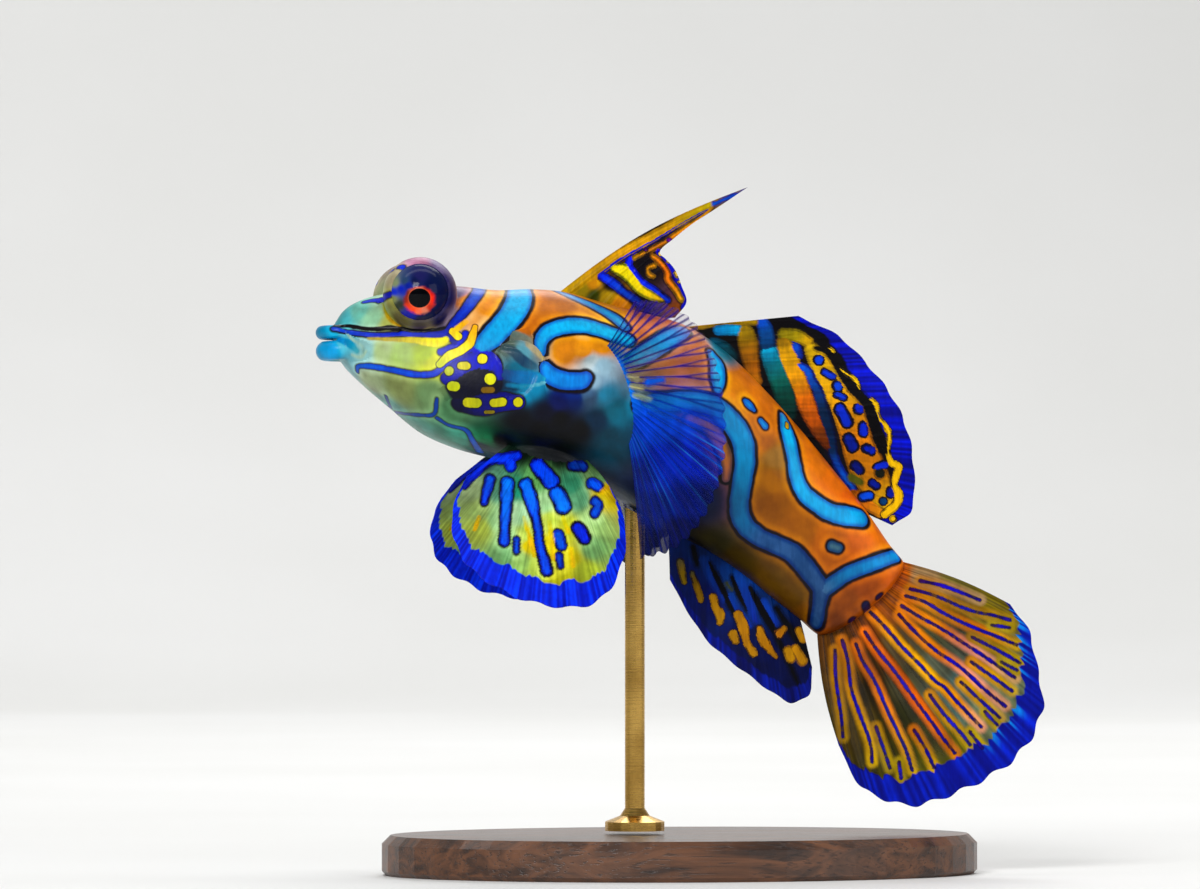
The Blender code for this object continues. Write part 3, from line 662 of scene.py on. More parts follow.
def lip(y, radius, steps=41, columns=24):
    """A thick lip that bends round the front of the mouth and ends in the cheeks."""
    angle = np.radians(np.linspace(-LIP_TURN, LIP_TURN, steps))
    ahead = LIP_REACH * np.cos(angle) - (radius - LIP_RADII[0])
    middle = place(LIP_X, y)
    path = middle + np.stack([-ahead, LIP_REACH * np.sin(angle), 0 * angle], axis=-1)
    along = unit(np.gradient(path, axis=0))
    across = unit(np.cross(along, (0, 0, 1)))
    up = np.cross(across, along)
    turn = 2 * np.pi * np.arange(columns) / columns
    points = (path[:, None] + across[:, None] * (radius * 0.9 * np.cos(turn))[None, :, None]
              + up[:, None] * (radius * np.sin(turn))[None, :, None])
    return points.reshape(-1, 3), ring_faces(steps, columns)


def orbit_centre(side):
    near = place(*ORBIT_PLACE, -ORBIT_OUT)
    return np.array((near[0], side * ORBIT_OUT, near[2]))


def gaze(side):
    """The way an eye looks: outward, a little ahead and up."""
    return unit(np.array((-0.12, side, 0.06)))


def eye_centre(side):
    return orbit_centre(side) + gaze(side) * EYE_OUT


def sided(point, side):
    """A point of the left flank, or its mirror image on the right."""
    return np.array((point[0], -side * point[1], point[2]))


def gill_flap(side):
    """The low flap that covers the gill opening behind the cheek."""
    axes = ((0.96, 0.12 * side, -0.26), (0.26, 0, 0.96), (0.1, side, 0))
    centre = sided(flank_at(*FLAP_PLACE), side)
    return ball(centre, FLAP_RADII, axes)


def swell(points, side):
    """Raises the fleshy base of the pectoral fin out of the skin."""
    height, half_length, half_width = SWELL
    ends = [sided(flank_at(x, y), side) for x, y in PECTORAL_ROOT]
    along = unit(ends[2] - ends[0])
    outward = np.array((0.25, side, 0))
    outward = unit(outward - along * (outward @ along))
    off = points - ends[1]
    share = ((off @ along) / half_length) ** 2
    share = share + ((off @ np.cross(outward, along)) / half_width) ** 2
    share = share + (np.minimum(0, off @ outward + 1.5) / 0.8) ** 2
    return points + outward * (height * np.exp(-share))[:, None]


def pelvic_root(side, u):
    """Points of the line that the pelvic fin grows from, at shares u."""
    s = PELVIC_ROOT[0] + (PELVIC_ROOT[1] - PELVIC_ROOT[0]) * np.asarray(u, float)
    return flank(s, np.full(np.shape(u), PELVIC_DROP), side) + (0, -side * 0.6, 0.96)


def pelvic_splay(side):
    return PELVIC_SPLAY if side == LEFT else FAR_PELVIC_SPLAY


def pelvic_lobe(side):
    """The fleshy base of the pelvic fin."""
    splay = pelvic_splay(side)
    first, last = pelvic_root(side, 0.0), pelvic_root(side, 1.0)
    along = unit(last - first)
    down = np.array((0, side * math.sin(splay), -math.cos(splay)))
    down = unit(down - along * (down @ along))
    centre = (first + last) / 2 + (0, side * 0.1, -0.4)
    return ball(centre, PELVIC_LOBE_RADII, (along, np.cross(down, along), down))


def fused(shells):
    """One closed skin round overlapping shells."""
    mesh = bpy.data.meshes.new("shells")
    points, faces, start = [], [], 0
    for shell_points, shell_faces in shells:
        points.append(shell_points)
        faces += [tuple(start + k for k in face) for face in shell_faces]
        start += len(shell_points)
    mesh.from_pydata(np.vstack(points).tolist(), [], faces)
    obj = put_in_scene("shells", mesh)
    modifier = obj.modifiers.new("fuse", "REMESH")
    modifier.mode = "VOXEL"
    modifier.voxel_size = VOXEL
    graph = bpy.context.evaluated_depsgraph_get()
    made = bpy.data.meshes.new_from_object(obj.evaluated_get(graph))
    bpy.data.objects.remove(obj)
    return made


def rows_of(items, name):
    """Three numbers of each of a mesh's items, such as its points."""
    flat = np.empty(len(items) * 3, np.float32)
    items.foreach_get(name, flat)
    return flat.reshape(-1, 3).astype(float)


def set_points(mesh, points):
    mesh.vertices.foreach_set("co", points.astype(np.float32).ravel())
    mesh.update()


def smooth_away(mesh):
    """Smooths away the voxels without shrinking the skin."""
    edges = np.empty(len(mesh.edges) * 2, np.int32)
    mesh.edges.foreach_get("vertices", edges)
    a, b = edges.reshape(-1, 2).T
    count = len(mesh.vertices)
    links = np.bincount(a, minlength=count) + np.bincount(b, minlength=count)
    points = rows_of(mesh.vertices, "co")
    for turn in range(SMOOTH_TURNS):
        mean = np.stack([
            np.bincount(a, points[b, k], count) + np.bincount(b, points[a, k], count)
            for k in range(3)
        ], axis=-1) / links[:, None]
        points += (mean - points) * SMOOTH_STEPS[turn % 2]
    set_points(mesh, points)


def lay(tree, x, y):
    """The point of the skin that the camera sees at (x, y)."""
    start, ahead = sight_line(x, y)
    hit = tree.ray_cast(Vector(start), Vector(ahead))[0]
    if hit is None:
        middle = start + ahead * SIGHT
        hit = tree.find_nearest(Vector(middle))[0]
    return np.array(hit)


def lay_stroke(tree):
    """A function that lays a stroke's (x, y, half width) rows onto the skin."""
    def lift(rows):
        return np.array([(*lay(tree, x, y), width * UNIT) for x, y, width in rows])
    return lift


def groove(points, normals, lift, chain, width, depth):
    """Presses a groove into the skin along a line of (x, y) rows."""
    rows = lift(rounded([(x, y, 0) for x, y in chain]))
    off, _ = chain_field(mirrored(points), rows, 1.0)
    return points - normals * (depth * np.exp(-(off / width) ** 2))[:, None]


def seat_eyes(points):
    """Draws the skin in under each eyeball, and lifts a rim round it."""
    height, distance, width = EYE_RIM
    for side in SIDE_WORDS:
        off = points - eye_centre(side)
        far = np.linalg.norm(off, axis=1)
        turn = off / far[:, None]
        front = (turn @ gaze(side)) > -0.2
        inner = front & (far < EYE_RADIUS + EYE_GAP)
        points[inner] = eye_centre(side) + turn[inner] * (EYE_RADIUS - EYE_SEAT)
        rim = height * np.exp(-((far - EYE_RADIUS - distance) / width) ** 2) * front * ~inner
        points += turn * rim[:, None]
    return points


def skin_mesh():
    """The fused and smoothed skin before the grooves and the eyes' seats."""
    shells = [body_shell()]
    shells += [lip(y, radius) for y, radius in zip(LIP_LINES, LIP_RADII)]
    for side in SIDE_WORDS:
        shells.append(ball(orbit_centre(side), (ORBIT_RADIUS,) * 3))
        shells += [gill_flap(side), pelvic_lobe(side)]
    mesh = fused(shells)
    smooth_away(mesh)
    points = rows_of(mesh.vertices, "co")
    for side in SIDE_WORDS:
        points = swell(points, side)
    set_points(mesh, points)
    return mesh


def make_skin():
    """The skin of the head, trunk and tail stalk in one piece, with its markings."""
    mesh = skin_mesh()
    points, normals = rows_of(mesh.vertices, "co"), rows_of(mesh.vertex_normals, "vector")
    faces = [tuple(face.vertices) for face in mesh.polygons]
    bpy.data.meshes.remove(mesh)
    tree = BVHTree.FromPolygons(points.tolist(), faces)
    lift = lay_stroke(tree)
    points = groove(points, normals, lift, MOUTH_SLIT, width=0.16, depth=0.20)
    points = groove(points, normals, lift, GILL_EDGE, width=0.18, depth=0.14)
    for spot in NOSTRILS:
        points = groove(points, normals, lift, (spot, spot), width=0.14, depth=0.22)
    points = seat_eyes(points)

    skin = make_mesh("skin", points, faces)
    at = own_shift(points)
    depth, colour, outline = paint(at, FACE_STROKES_AND_HIGHLIGHTS + BODY_BANDS, lift)
    upper, upper_colour, upper_outline = paint(at, UPPER_MARKS, lift)
    # The ground takes in painted shade under the throat and belly and a painted highlight at the
    # pectoral fin's base
    places = [lay(tree, x, y) for x, y, _ in SKIN_GROUND_AND_PAINTED_LIGHT]
    places += [flank(s, -0.995, LEFT) for s, _ in UNDERSIDE_WITH_SHADE]
    colours = [rgb(zone[-1]) for zone in SKIN_GROUND_AND_PAINTED_LIGHT + UNDERSIDE_WITH_SHADE]
    store(skin, ground=blend_places(at, places, colours), mark=depth, mark_colour=colour,
          outline=outline, upper=upper, upper_colour=upper_colour,
          upper_outline=upper_outline)
    return skin


class Nodes:
    """Adds nodes to a material and joins them."""

    def __init__(self, name):
        self.material = bpy.data.materials.new(name)
        self.material.use_nodes = True
        self.tree = self.material.node_tree
        self.shader = self.tree.nodes["Principled BSDF"]

    def add(self, kind, inputs=(), **settings):
        node = self.tree.nodes.new(kind)
        for key, value in settings.items():
            setattr(node, key, value)
        for key, value in dict(inputs).items():
            self.feed(node.inputs[key], value)
        return node

    def feed(self, socket, value):
        if isinstance(value, bpy.types.NodeSocket):
            self.tree.links.new(value, socket)
        else:
            socket.default_value = value

    def math(self, operation, *values):
        return self.add("ShaderNodeMath", enumerate(values), operation=operation).outputs[0]

    def times(self, a, b):
        return self.math("MULTIPLY", a, b)

    def plus(self, a, b):
        return self.math("ADD", a, b)

    def minus(self, a, b):
        return self.math("SUBTRACT", a, b)

    def step(self, value, start, end):
        """A smooth rise from 0 at start to 1 at end."""
        inputs = {"Value": value, "From Min": start, "From Max": end}
        return self.add("ShaderNodeMapRange", inputs, interpolation_type="SMOOTHSTEP").outputs[0]

    def mix(self, share, a, b, blend="MIX"):
        inputs = {0: share, 6: a, 7: b}
        node = self.add("ShaderNodeMix", inputs, data_type="RGBA", blend_type=blend)
        return node.outputs[2]

    def tint(self, share, colour, code):
        """A colour multiplied by another one, by share."""
        return self.mix(share, colour, paint_code(code), "MULTIPLY")

    def number(self, name):
        return self.add("ShaderNodeAttribute", attribute_name=name).outputs["Fac"]

    def colour(self, name):
        return self.add("ShaderNodeAttribute", attribute_name=name).outputs["Color"]

    def grain(self, stretch=None, turn=(0, 0, 0), **inputs):
        """Noise, drawn out along the axes that have small numbers in stretch."""
        place = self.add("ShaderNodeTexCoord").outputs["Object"]
        if stretch:
            laid = {"Vector": place, "Rotation": turn, "Scale": stretch}
            place = self.add("ShaderNodeMapping", laid).outputs[0]
        return self.add("ShaderNodeTexNoise", {"Vector": place, **inputs}).outputs["Fac"]

    def noise(self, size, detail=3.0, stretch=None, turn=(0, 0, 0)):
        """Noise whose features are about size millimetres wide."""
        return self.grain(stretch, turn, Scale=500.0 / size, Detail=detail)

    def bump(self, height, millimetres, strength):
        inputs = {"Height": height, "Distance": millimetres * TO_METRES, "Strength": strength}
        return self.add("ShaderNodeBump", inputs).outputs[0]

    def finish(self, **inputs):
        for key, value in inputs.items():
            self.feed(self.shader.inputs[key.replace("_", " ")], value)
        return self.material


def mottled_ground(nodes, mottle, hatch, near):
    """The ground zones with darker mottling and clouds, brighter near an outlined stroke."""
    ground = nodes.tint(nodes.times(mottle, 0.38), nodes.colour("ground"), "#6a3418")
    cloud = nodes.times(nodes.step(nodes.noise(3.0, 3.0), 0.45, 0.65), 0.4)
    ground = nodes.tint(cloud, ground, "#7a6444")
    bright = nodes.mix(1.0, ground, paint_code("#ffffff"), "SOFT_LIGHT")
    ground = nodes.mix(nodes.times(near, 0.7), ground, bright)
    return nodes.tint(nodes.times(hatch, 0.3), ground, "#8a7068")


def stroke_fill(nodes, mottle, hatch, rim):
    """The colour inside the strokes, darker on their rims."""
    fill = nodes.tint(nodes.times(mottle, 0.45), nodes.colour("mark_colour"), "#4a86a8")
    fill = nodes.tint(hatch, fill, "#5a80a0")
    return nodes.mix(rim, fill, nodes.tint(1.0, fill, "#3a6ac8"))


def laid_over(nodes, colour, fill, depth, edge, outlined, dark, softness):
    """A colour with the strokes' dark outlines and their fill over it. A stroke without an
    outline has a softer edge."""
    shade = nodes.times(nodes.step(edge, *dark), outlined)
    colour = nodes.mix(shade, colour, paint_code(OUTLINE))
    soft = nodes.minus(softness, nodes.times(outlined, softness - SHARP_EDGE))
    inside = nodes.step(depth, nodes.times(soft, -1.0), soft)
    return nodes.mix(inside, colour, fill)


def marked_colour(nodes, rim_width):
    """Colour of a marked surface: its ground, the strokes, and the upper marks over them."""
    ragged = nodes.times(nodes.minus(nodes.noise(0.45, 4.0), 0.5), 0.2)
    depth = nodes.plus(nodes.number("mark"), ragged)
    upper = nodes.plus(nodes.number("upper"), ragged)
    outline, upper_outline = nodes.number("outline"), nodes.number("upper_outline")
    outlined = nodes.step(outline, 0.0, 0.03)
    upper_outlined = nodes.step(upper_outline, 0.0, 0.03)
    uneven = nodes.plus(nodes.noise(1.4, 2.0), 0.35)
    edge = nodes.plus(depth, nodes.times(outline, uneven))
    upper_edge = nodes.plus(upper, upper_outline)

    mottle = nodes.step(nodes.noise(0.8, 5.0), 0.3, 0.75)
    hatch = nodes.noise(0.16, 2.0, (1, 1, 0.16), (0, math.radians(-35), 0))
    hatch = nodes.times(nodes.step(hatch, 0.35, 0.7), 0.28)
    near = nodes.times(nodes.step(edge, -0.7, -0.1), outlined)
    rim = nodes.times(nodes.times(nodes.step(depth, rim_width, 0.02), 0.75), outlined)
    ground = mottled_ground(nodes, mottle, hatch, near)
    fill = stroke_fill(nodes, mottle, hatch, rim)
    colour = laid_over(nodes, ground, fill, depth, edge, outlined, (-0.16, 0.06), 0.13)
    upper_fill = nodes.tint(hatch, nodes.colour("upper_colour"), "#807060")
    colour = laid_over(nodes, colour, upper_fill, upper, upper_edge, upper_outlined,
                       (-0.08, 0.03), 0.10)
    vivid = nodes.add("ShaderNodeHueSaturation", {"Saturation": 1.12, "Color": colour})
    return vivid.outputs[0]


def skin_material():
    nodes = Nodes("skin")
    colour = marked_colour(nodes, rim_width=0.42)
    fine = nodes.noise(0.12)
    height = nodes.plus(nodes.times(fine, 0.35), nodes.noise(0.7))
    return nodes.finish(
        Base_Color=colour, Roughness=nodes.plus(nodes.times(fine, 0.2), 0.28),
        Normal=nodes.bump(height, 0.06, 0.4), Specular_IOR_Level=0.14,
        Coat_Weight=0.04, Coat_Roughness=0.12,
    )


def fin_material(name, see_through=False):
    nodes = Nodes(name)
    colour = marked_colour(nodes, rim_width=0.18)
    fine = nodes.noise(0.10)
    return nodes.finish(
        Base_Color=colour, Roughness=nodes.plus(nodes.times(fine, 0.2), 0.42),
        Normal=nodes.bump(fine, 0.03, 0.5), Specular_IOR_Level=0.07,
        Alpha=nodes.number("solid") if see_through else 1.0,
    )


class Fin:
    """A fin as a fine grid over shares u (from its first ray to its last) and v (outward)."""

    def __init__(self, root, tip, bow, columns, rows, rays, sink=1.2, scallop=0.02, split=0.45):
        u = np.linspace(0, 1, columns)
        v = np.linspace(0, 1, rows)
        self.u, self.v = np.meshgrid(u, v, indexing="ij")
        at_ray = np.cos(np.pi * u * (rays - 1)) ** 2
        low, high = root(u), tip(u)
        high = low + (high - low) * (1 - scallop * (1 - at_ray))[:, None]
        low = low - unit(high - low) * sink
        self.points = low[:, None] + (high - low)[:, None] * v[None, :, None]
        self.points = self.points + bow(self.u, self.v)
        self.length = np.linalg.norm(high - low, axis=1)[:, None] * np.ones(rows)
        self.ray_off = self.off_rays(rays, split)

    def off_rays(self, rays, split):
        """Distance to the nearest ray; each ray forks into two beyond the share split."""
        along_u = np.linalg.norm(np.gradient(self.points, axis=0), axis=2) * (len(self.u) - 1)
        fork = 0.24 / (rays - 1) * smooth_step(self.v, split, 0.95)
        off = np.full(self.u.shape, 9.0)
        for k in range(rays):
            for turn in (-1, 1):
                off = np.minimum(off, abs(self.u - k / (rays - 1) - turn * fork))
        return off * along_u

    def side_view(self):
        return seen_at(self.points.reshape(-1, 3))

    def made(self, name, membrane=0.07, ridge=0.10, ray_width=0.13):
        """The fin as a closed mesh with its rays raised on both faces."""
        columns, rows = self.u.shape
        crest = np.exp(-(self.ray_off / ray_width) ** 2)
        half = membrane * (1 - 0.45 * self.v) + ridge * crest * (1 - 0.75 * self.v)
        normal = unit(np.cross(np.gradient(self.points, axis=0), np.gradient(self.points, axis=1)))
        front = self.points + normal * half[..., None]
        back = self.points - normal * half[..., None]
        total = columns * rows
        index = np.arange(total).reshape(columns, rows)
        a, b = index[:-1, :-1].ravel(), index[1:, :-1].ravel()
        c, d = index[1:, 1:].ravel(), index[:-1, 1:].ravel()
        faces = np.stack([a, b, c, d], axis=-1)
        rim = np.concatenate([index[:, 0], index[-1, 1:], index[-2::-1, -1], index[0, -2:0:-1]])
        after = np.roll(rim, -1)
        edge = np.stack([after, rim, total + rim, total + after], axis=-1)
        faces = np.vstack([faces, total + faces[:, ::-1], edge])
        points = np.concatenate([front.reshape(-1, 3), back.reshape(-1, 3)])
        return make_mesh(name, points, faces.tolist())


def streaks(fin, count, seed):
    """Fine lines along a fin's rays: a number from 0 to 1 at each point."""
    chance = np.random.default_rng(seed)
    inner, outer = chance.random((2, count))
    at = fin.u.ravel() * (count - 1)
    low, high = np.interp(at, range(count), inner), np.interp(at, range(count), outer)
    return low + (high - low) * fin.v.ravel()


def margin_depth(fin, widths, wave, rays):
    """How deep each point lies in a margin along the fin's outer edge, in side-view units.
    Its widths are given from the first ray to the last, and vary by up to twice wave."""
    width = smooth_curve([(w,) for w in widths], fin.u)[..., 0]
    ripple = streaks(fin, count=rays * 5, seed=7).reshape(fin.u.shape) - 0.5
    width = width + wave * 4 * ripple
    inward = (1 - fin.v) * fin.length / UNIT
    return (width - inward).ravel()


def paint_fin(obj, view, marks, upper_marks, ground, margin=None, solid=None, tone=None):
    """Stores a fin's colours. view is the side-view place of each point of its grid, and margin
    is (depth inside the margin, its colour)."""
    depth, colour, outline = paint(view, marks, np.array, FLAT_REACH)
    upper, upper_colour, upper_outline = paint(view, upper_marks, np.array, FLAT_REACH)
    if margin is not None:
        edge, edge_colour = margin
        better = edge > depth
        depth = np.where(better, edge, depth)
        colour = np.where(better[:, None], edge_colour, colour)
        outline = np.where(better, 0, outline)
    if tone is not None:
        ground, colour = ground * tone[:, None], colour * tone[:, None]
    values = dict(ground=ground, mark=depth * UNIT, mark_colour=colour, outline=outline,
                  upper=upper * UNIT, upper_colour=upper_colour, upper_outline=upper_outline)
    if solid is not None:
        values["solid"] = solid
    store(obj, **{key: np.concatenate([value, value]) for key, value in values.items()})


def on_edge(span, u, edge):
    """Points of the back (edge 1) or belly (edge -1) over a span of stations."""
    centre, up, _, _ = section(span[0] + (span[1] - span[0]) * u)
    return centre + up * edge


def midline_tips(tips, u):
    """Points of a fin's outline in the fish's middle plane."""
    x, y = smooth_curve(tips, u).T
    return place(x, y, swing(x))


def midline_fin(root, tips, bow, edge=1, **grid):
    """A fin in the middle plane, on the back (edge 1) or belly (edge -1)."""
    return Fin(lambda u: on_edge(root, u, edge), lambda u: midline_tips(tips, u), bow, **grid)


def swaying(size, waves):
    """A bow that waves from side to side along the fin's edge."""
    return lambda u, v: aside(size * np.sin(waves * np.pi * u) * v)


def cupped(size):
    """A bow that cups the fin from root to edge."""
    return lambda u, v: aside(size * np.sin(np.pi * v))


# First dorsal fin
FIRST_DORSAL_GROUND = (
    (568, 291, "#c09a20"), (583, 288, "#8a7a18"), (594, 295, "#384410"), (606, 299, "#b89820"),
    (618, 306, "#c8803a"), (592, 283, "#c08018"), (610, 285, "#050308"), (640, 300, "#050308"),
    (655, 308, "#0c1440"), (672, 315, "#5a3018"), (645, 268, "#050308"), (670, 245, "#0a0608"),
    (700, 215, "#a88028"),
)
FIRST_DORSAL_MARKS = (
    (((571, 289, 4.5), (596, 271, 5), (620, 254, 5), (650, 238, 4.2), (680, 221, 3.4),
      (709, 205, 2.6)), ("#b89020", "#d09010", "#d89810", "#c89018", "#b09838"), 0),
    (((600, 274, 2.2), (612, 264, 2.4), (626, 255, 2.4), (644, 245, 2.2), (664, 234, 2),
      (680, 223.5, 1.8), (708, 209, 1.3)), ("#0c24c8", "#1030c0", "#1438a8"), 0.6),
    (((634, 258, 1.8), (646, 252, 2.4), (664, 242.5, 2.6), (680, 232, 2.8), (700, 218, 2.6),
      (712, 208, 2)), ("#e09010", "#e07818", "#e08818", "#d88818"), 0.5),
    (((713, 204.5, 2.6), (730, 197, 2), (749, 188.5, 1.4)), ("#1c50b8", "#183ca0"), 0.3),
    (((600, 275, 3.4), (614, 284, 3.8), (626, 294, 3.8), (640, 304, 3.4)),
     ("#0c28e8", "#1044d0", "#0c2890"), 1),
    (((614, 268, 4.5), (624, 271, 6.5), (632, 279, 6), (640, 289, 4.6), (650, 295, 4),
      (662, 300, 2.4)), ("#f8d800", "#ffe200", "#f8d400", "#f0b010"), 0.8),
    (((630, 258.5, 3), (629, 266, 3), (636, 276, 3.2), (644, 284, 3), (654, 290, 2.8),
      (667, 300, 2.6)), ("#0c20e8", "#0c24e8", "#0c38d0"), 1),
    (((654, 265.5, 2.2), (648, 268, 2.4), (648.5, 274, 2.4), (653, 276.5, 2)),
     "#f09010", 1),
    (((652, 256, 2.2), (660, 262, 2.8), (667, 272, 3), (668, 280, 3), (675, 289, 3),
      (681, 299, 2.6)), ("#f08818", "#f07010", "#f07818", "#f0a018"), 0.8),
    (((658, 250, 2.4), (668, 263, 3), (678, 280, 3.2), (684, 293, 3.4), (688, 301, 3),
      (684, 308, 2.4)), ("#0c10c0", "#0c14b8"), 0.8),
)
FIRST_DORSAL_UPPER = (
    (((661, 253.6, 1.5),), "#f0c870", 0.4),
    (((668, 261.5, 1.3),), "#e8c070", 0.4),
    (((675.6, 273, 1.6), (677, 276, 1.6)), "#f0c860", 0.4),
    (((679.4, 281.6, 1.6),), "#f0c860", 0.4),
    (((646, 250, 1.6),), "#6a2890", 0.4),
    (((669, 240, 1.8),), "#7a30a0", 0.4),
)


def raised(u, v):
    """A bow that arches the first ray upward and forward."""
    lift = 0.9 * np.sin(np.pi * v) * (1 - 0.7 * np.minimum(1, 4 * u))
    return np.stack([-0.45 * lift, 0 * lift, 0.9 * lift], axis=-1)


def make_first_dorsal_sheet():
    """Black with yellow and blue bands, drawn out into a thread."""
    fin = midline_fin(FIRST_DORSAL_ROOT, FIRST_DORSAL_TIPS, raised,
                      columns=110, rows=170, rays=4, split=2.0)
    obj = fin.made("fin_first_dorsal_sheet")
    view = fin.side_view()
    ground = blend_zones(view, FIRST_DORSAL_GROUND)
    tone = 0.95 + 0.6 * streaks(fin, count=70, seed=3)
    paint_fin(obj, view, FIRST_DORSAL_MARKS, FIRST_DORSAL_UPPER, ground, tone=tone)
    return obj, "fin_dorsal_first", False


# Second dorsal fin
SECOND_DORSAL_GROUND = (
    (700, 335, "#0a0808"), (760, 360, "#060408"), (800, 400, "#060408"), (850, 400, "#080508"),
    (870, 500, "#0a0608"),
)
SECOND_DORSAL_MARKS = (
    (((684, 326, 2.6), (703, 325, 3), (720, 321.5, 2), (743, 321.5, 2.5), (755, 322, 2.5)),
     ("#c89848", "#b89040", "#b8903c"), 0),
    (((718, 330, 4), (736, 329.5, 5)), ("#1684c8", "#24a4dc"), 0),
    (((712, 343, 4), (720, 350, 9), (731, 356, 6)), ("#125a78", "#0c4858", "#0a3038"), 0),
    (((745, 333, 8), (748, 345, 9), (750, 358, 8), (753, 372, 6), (757, 382, 4)),
     ("#a88438", "#98601c", "#a85c14", "#b06810"), 0),
    (((762, 322.5, 5), (766, 332, 7), (767, 345, 7)), ("#1254d8", "#124a94", "#0e3664"), 0),
    (((769, 353, 8), (774, 365, 9), (780, 381, 9.5), (786, 399, 9), (790, 414, 6)),
     ("#28a0c8", "#187a84", "#125c50", "#0a3c30", "#0a2c28"), 0),
    (((783, 334, 5), (797, 336, 5.5), (808, 342, 4.5)), ("#9a8428", "#a89020", "#e0a818"), 0),
    (((784, 342, 6), (788, 356, 9.5), (793, 370, 8.5), (801, 389, 8.5), (808, 408, 8),
      (816, 424, 7.5), (824, 437, 6), (830, 447, 4)),
     ("#a87828", "#f0a808", "#f09c08", "#e86c0c", "#c85410", "#7a3410", "#5a240c"), 0),
    (((795, 347, 5), (799, 356, 3.5)), ("#1448c0", "#1038a0"), 1),
    (((796, 364, 3.2), (807, 371, 4), (811, 381, 4.5), (817, 391, 5), (821, 405, 5.5),
      (825, 419, 6), (829, 434, 6), (832, 450, 5), (836, 462, 4), (844, 476, 3.2),
      (853, 488, 2.6)),
     ("#1458e0", "#1450c0", "#123c88", "#0c2444", "#0a2040", "#0c2850", "#1048b8", "#1264d8"),
     2.5),
    (((811, 349, 6), (819, 361, 10), (832, 381, 13), (842, 398, 14), (849, 414, 15),
      (856, 432, 16), (861, 450, 17), (867, 468, 17), (876, 486, 15), (886, 500, 9)),
     ("#d8a818", "#f0b008", "#f0a808", "#e89408", "#d8781c", "#d87c20", "#c8781c", "#d8a020"), 0),
    (((853, 492, 4), (868, 504, 5.5), (880, 512, 4.5)), ("#a8500c", "#d8700c", "#f09010"), 0),
)
SECOND_DORSAL_UPPER = (
    (((816, 348, 3), (829, 353, 4.5), (838, 370, 3.5), (848, 384, 5), (858, 394, 5.5),
      (868, 405, 6), (873, 420, 6.5), (878, 436, 6.5), (882, 450, 5)), "#030204", 0),
    (((880, 473, 6),), "#10140c", 0),
    (((852, 478, 5), (860, 482, 4)), "#4a4c18", 0),
    (((825, 348.5, 1.8), (832, 351.5, 2.2), (835, 364, 1.5), (845, 373, 1.6), (855, 380, 1.6),
      (862, 394, 1.5), (875, 404, 2.4), (878, 417, 1.8), (889, 432, 2), (888, 450, 1.6),
      (891, 462, 2.5), (898, 467, 3.4), (896, 476, 2.8), (894, 485, 2.5), (899, 495, 3.5),
      (895, 506, 3.4), (885, 514, 3.4)), ("#f0c010", "#f0b808"), 0.8),
    (((893, 519, 3),), "#f0b808", 0.8),
    (((819, 360, 3.6),), "#1040d8", 2),
    (((824, 372, 2), (833, 376.5, 2.4)), "#1034d0", 1.6),
    (((838, 386, 4.2),), "#1040d0", 2.2),
    (((836.5, 395, 2), (844, 397.6, 2)), "#1034c8", 1.6),
    (((840, 409, 4), (847, 422, 4.4)), ("#0c28c0", "#0c28b8"), 2.2),
    (((859.5, 408.5, 4.4),), "#0c24c0", 2),
    (((863.5, 426, 3.2), (863.5, 432, 3.4)), "#0c24c0", 2),
    (((848.5, 439, 4), (852.5, 446, 4.4)), "#0c1c88", 2.2),
    (((866, 448.5, 3), (872, 450.5, 3)), "#0c20a8", 2),
    (((855, 466, 3.6), (859, 470, 3.6)), "#10186c", 2),
    (((878, 468, 3.4), (884, 465.5, 3.4)), "#0c28c8", 2),
    (((872, 483, 2.6), (876, 486, 2.6)), "#0c1c90", 1.8),
    (((863, 497, 3.4), (869, 496, 3.4)), "#1048d8", 1.8),
    (((891, 490, 2.8), (891, 494, 2.8)), "#0c1c90", 1.8),
    (((883, 501.5, 2.6),), "#103c70", 1.5),
)
SECOND_DORSAL_MARGIN = (7, 12, 20, 26, 24, 22, 18, 11)


def make_second_dorsal_sheet():
    """Black with bands of blue, teal and orange, blue spots and a deep blue margin."""
    fin = midline_fin(SECOND_DORSAL_ROOT, SECOND_DORSAL_TIPS, swaying(0.4, 3),
                      columns=240, rows=130, rays=9)
    obj = fin.made("fin_second_dorsal_sheet")
    view = fin.side_view()
    streak = streaks(fin, count=110, seed=4)
    ground = blend_zones(view, SECOND_DORSAL_GROUND)
    edge = margin_depth(fin, SECOND_DORSAL_MARGIN, wave=0.6, rays=17)
    margin = (edge, between(streak**2, "#04068c", "#0a18d8"))
    tone = 0.65 + 0.6 * streak
    paint_fin(obj, view, SECOND_DORSAL_MARKS, SECOND_DORSAL_UPPER, ground, margin, tone=tone)
    return obj, "fin_dorsal_second", False


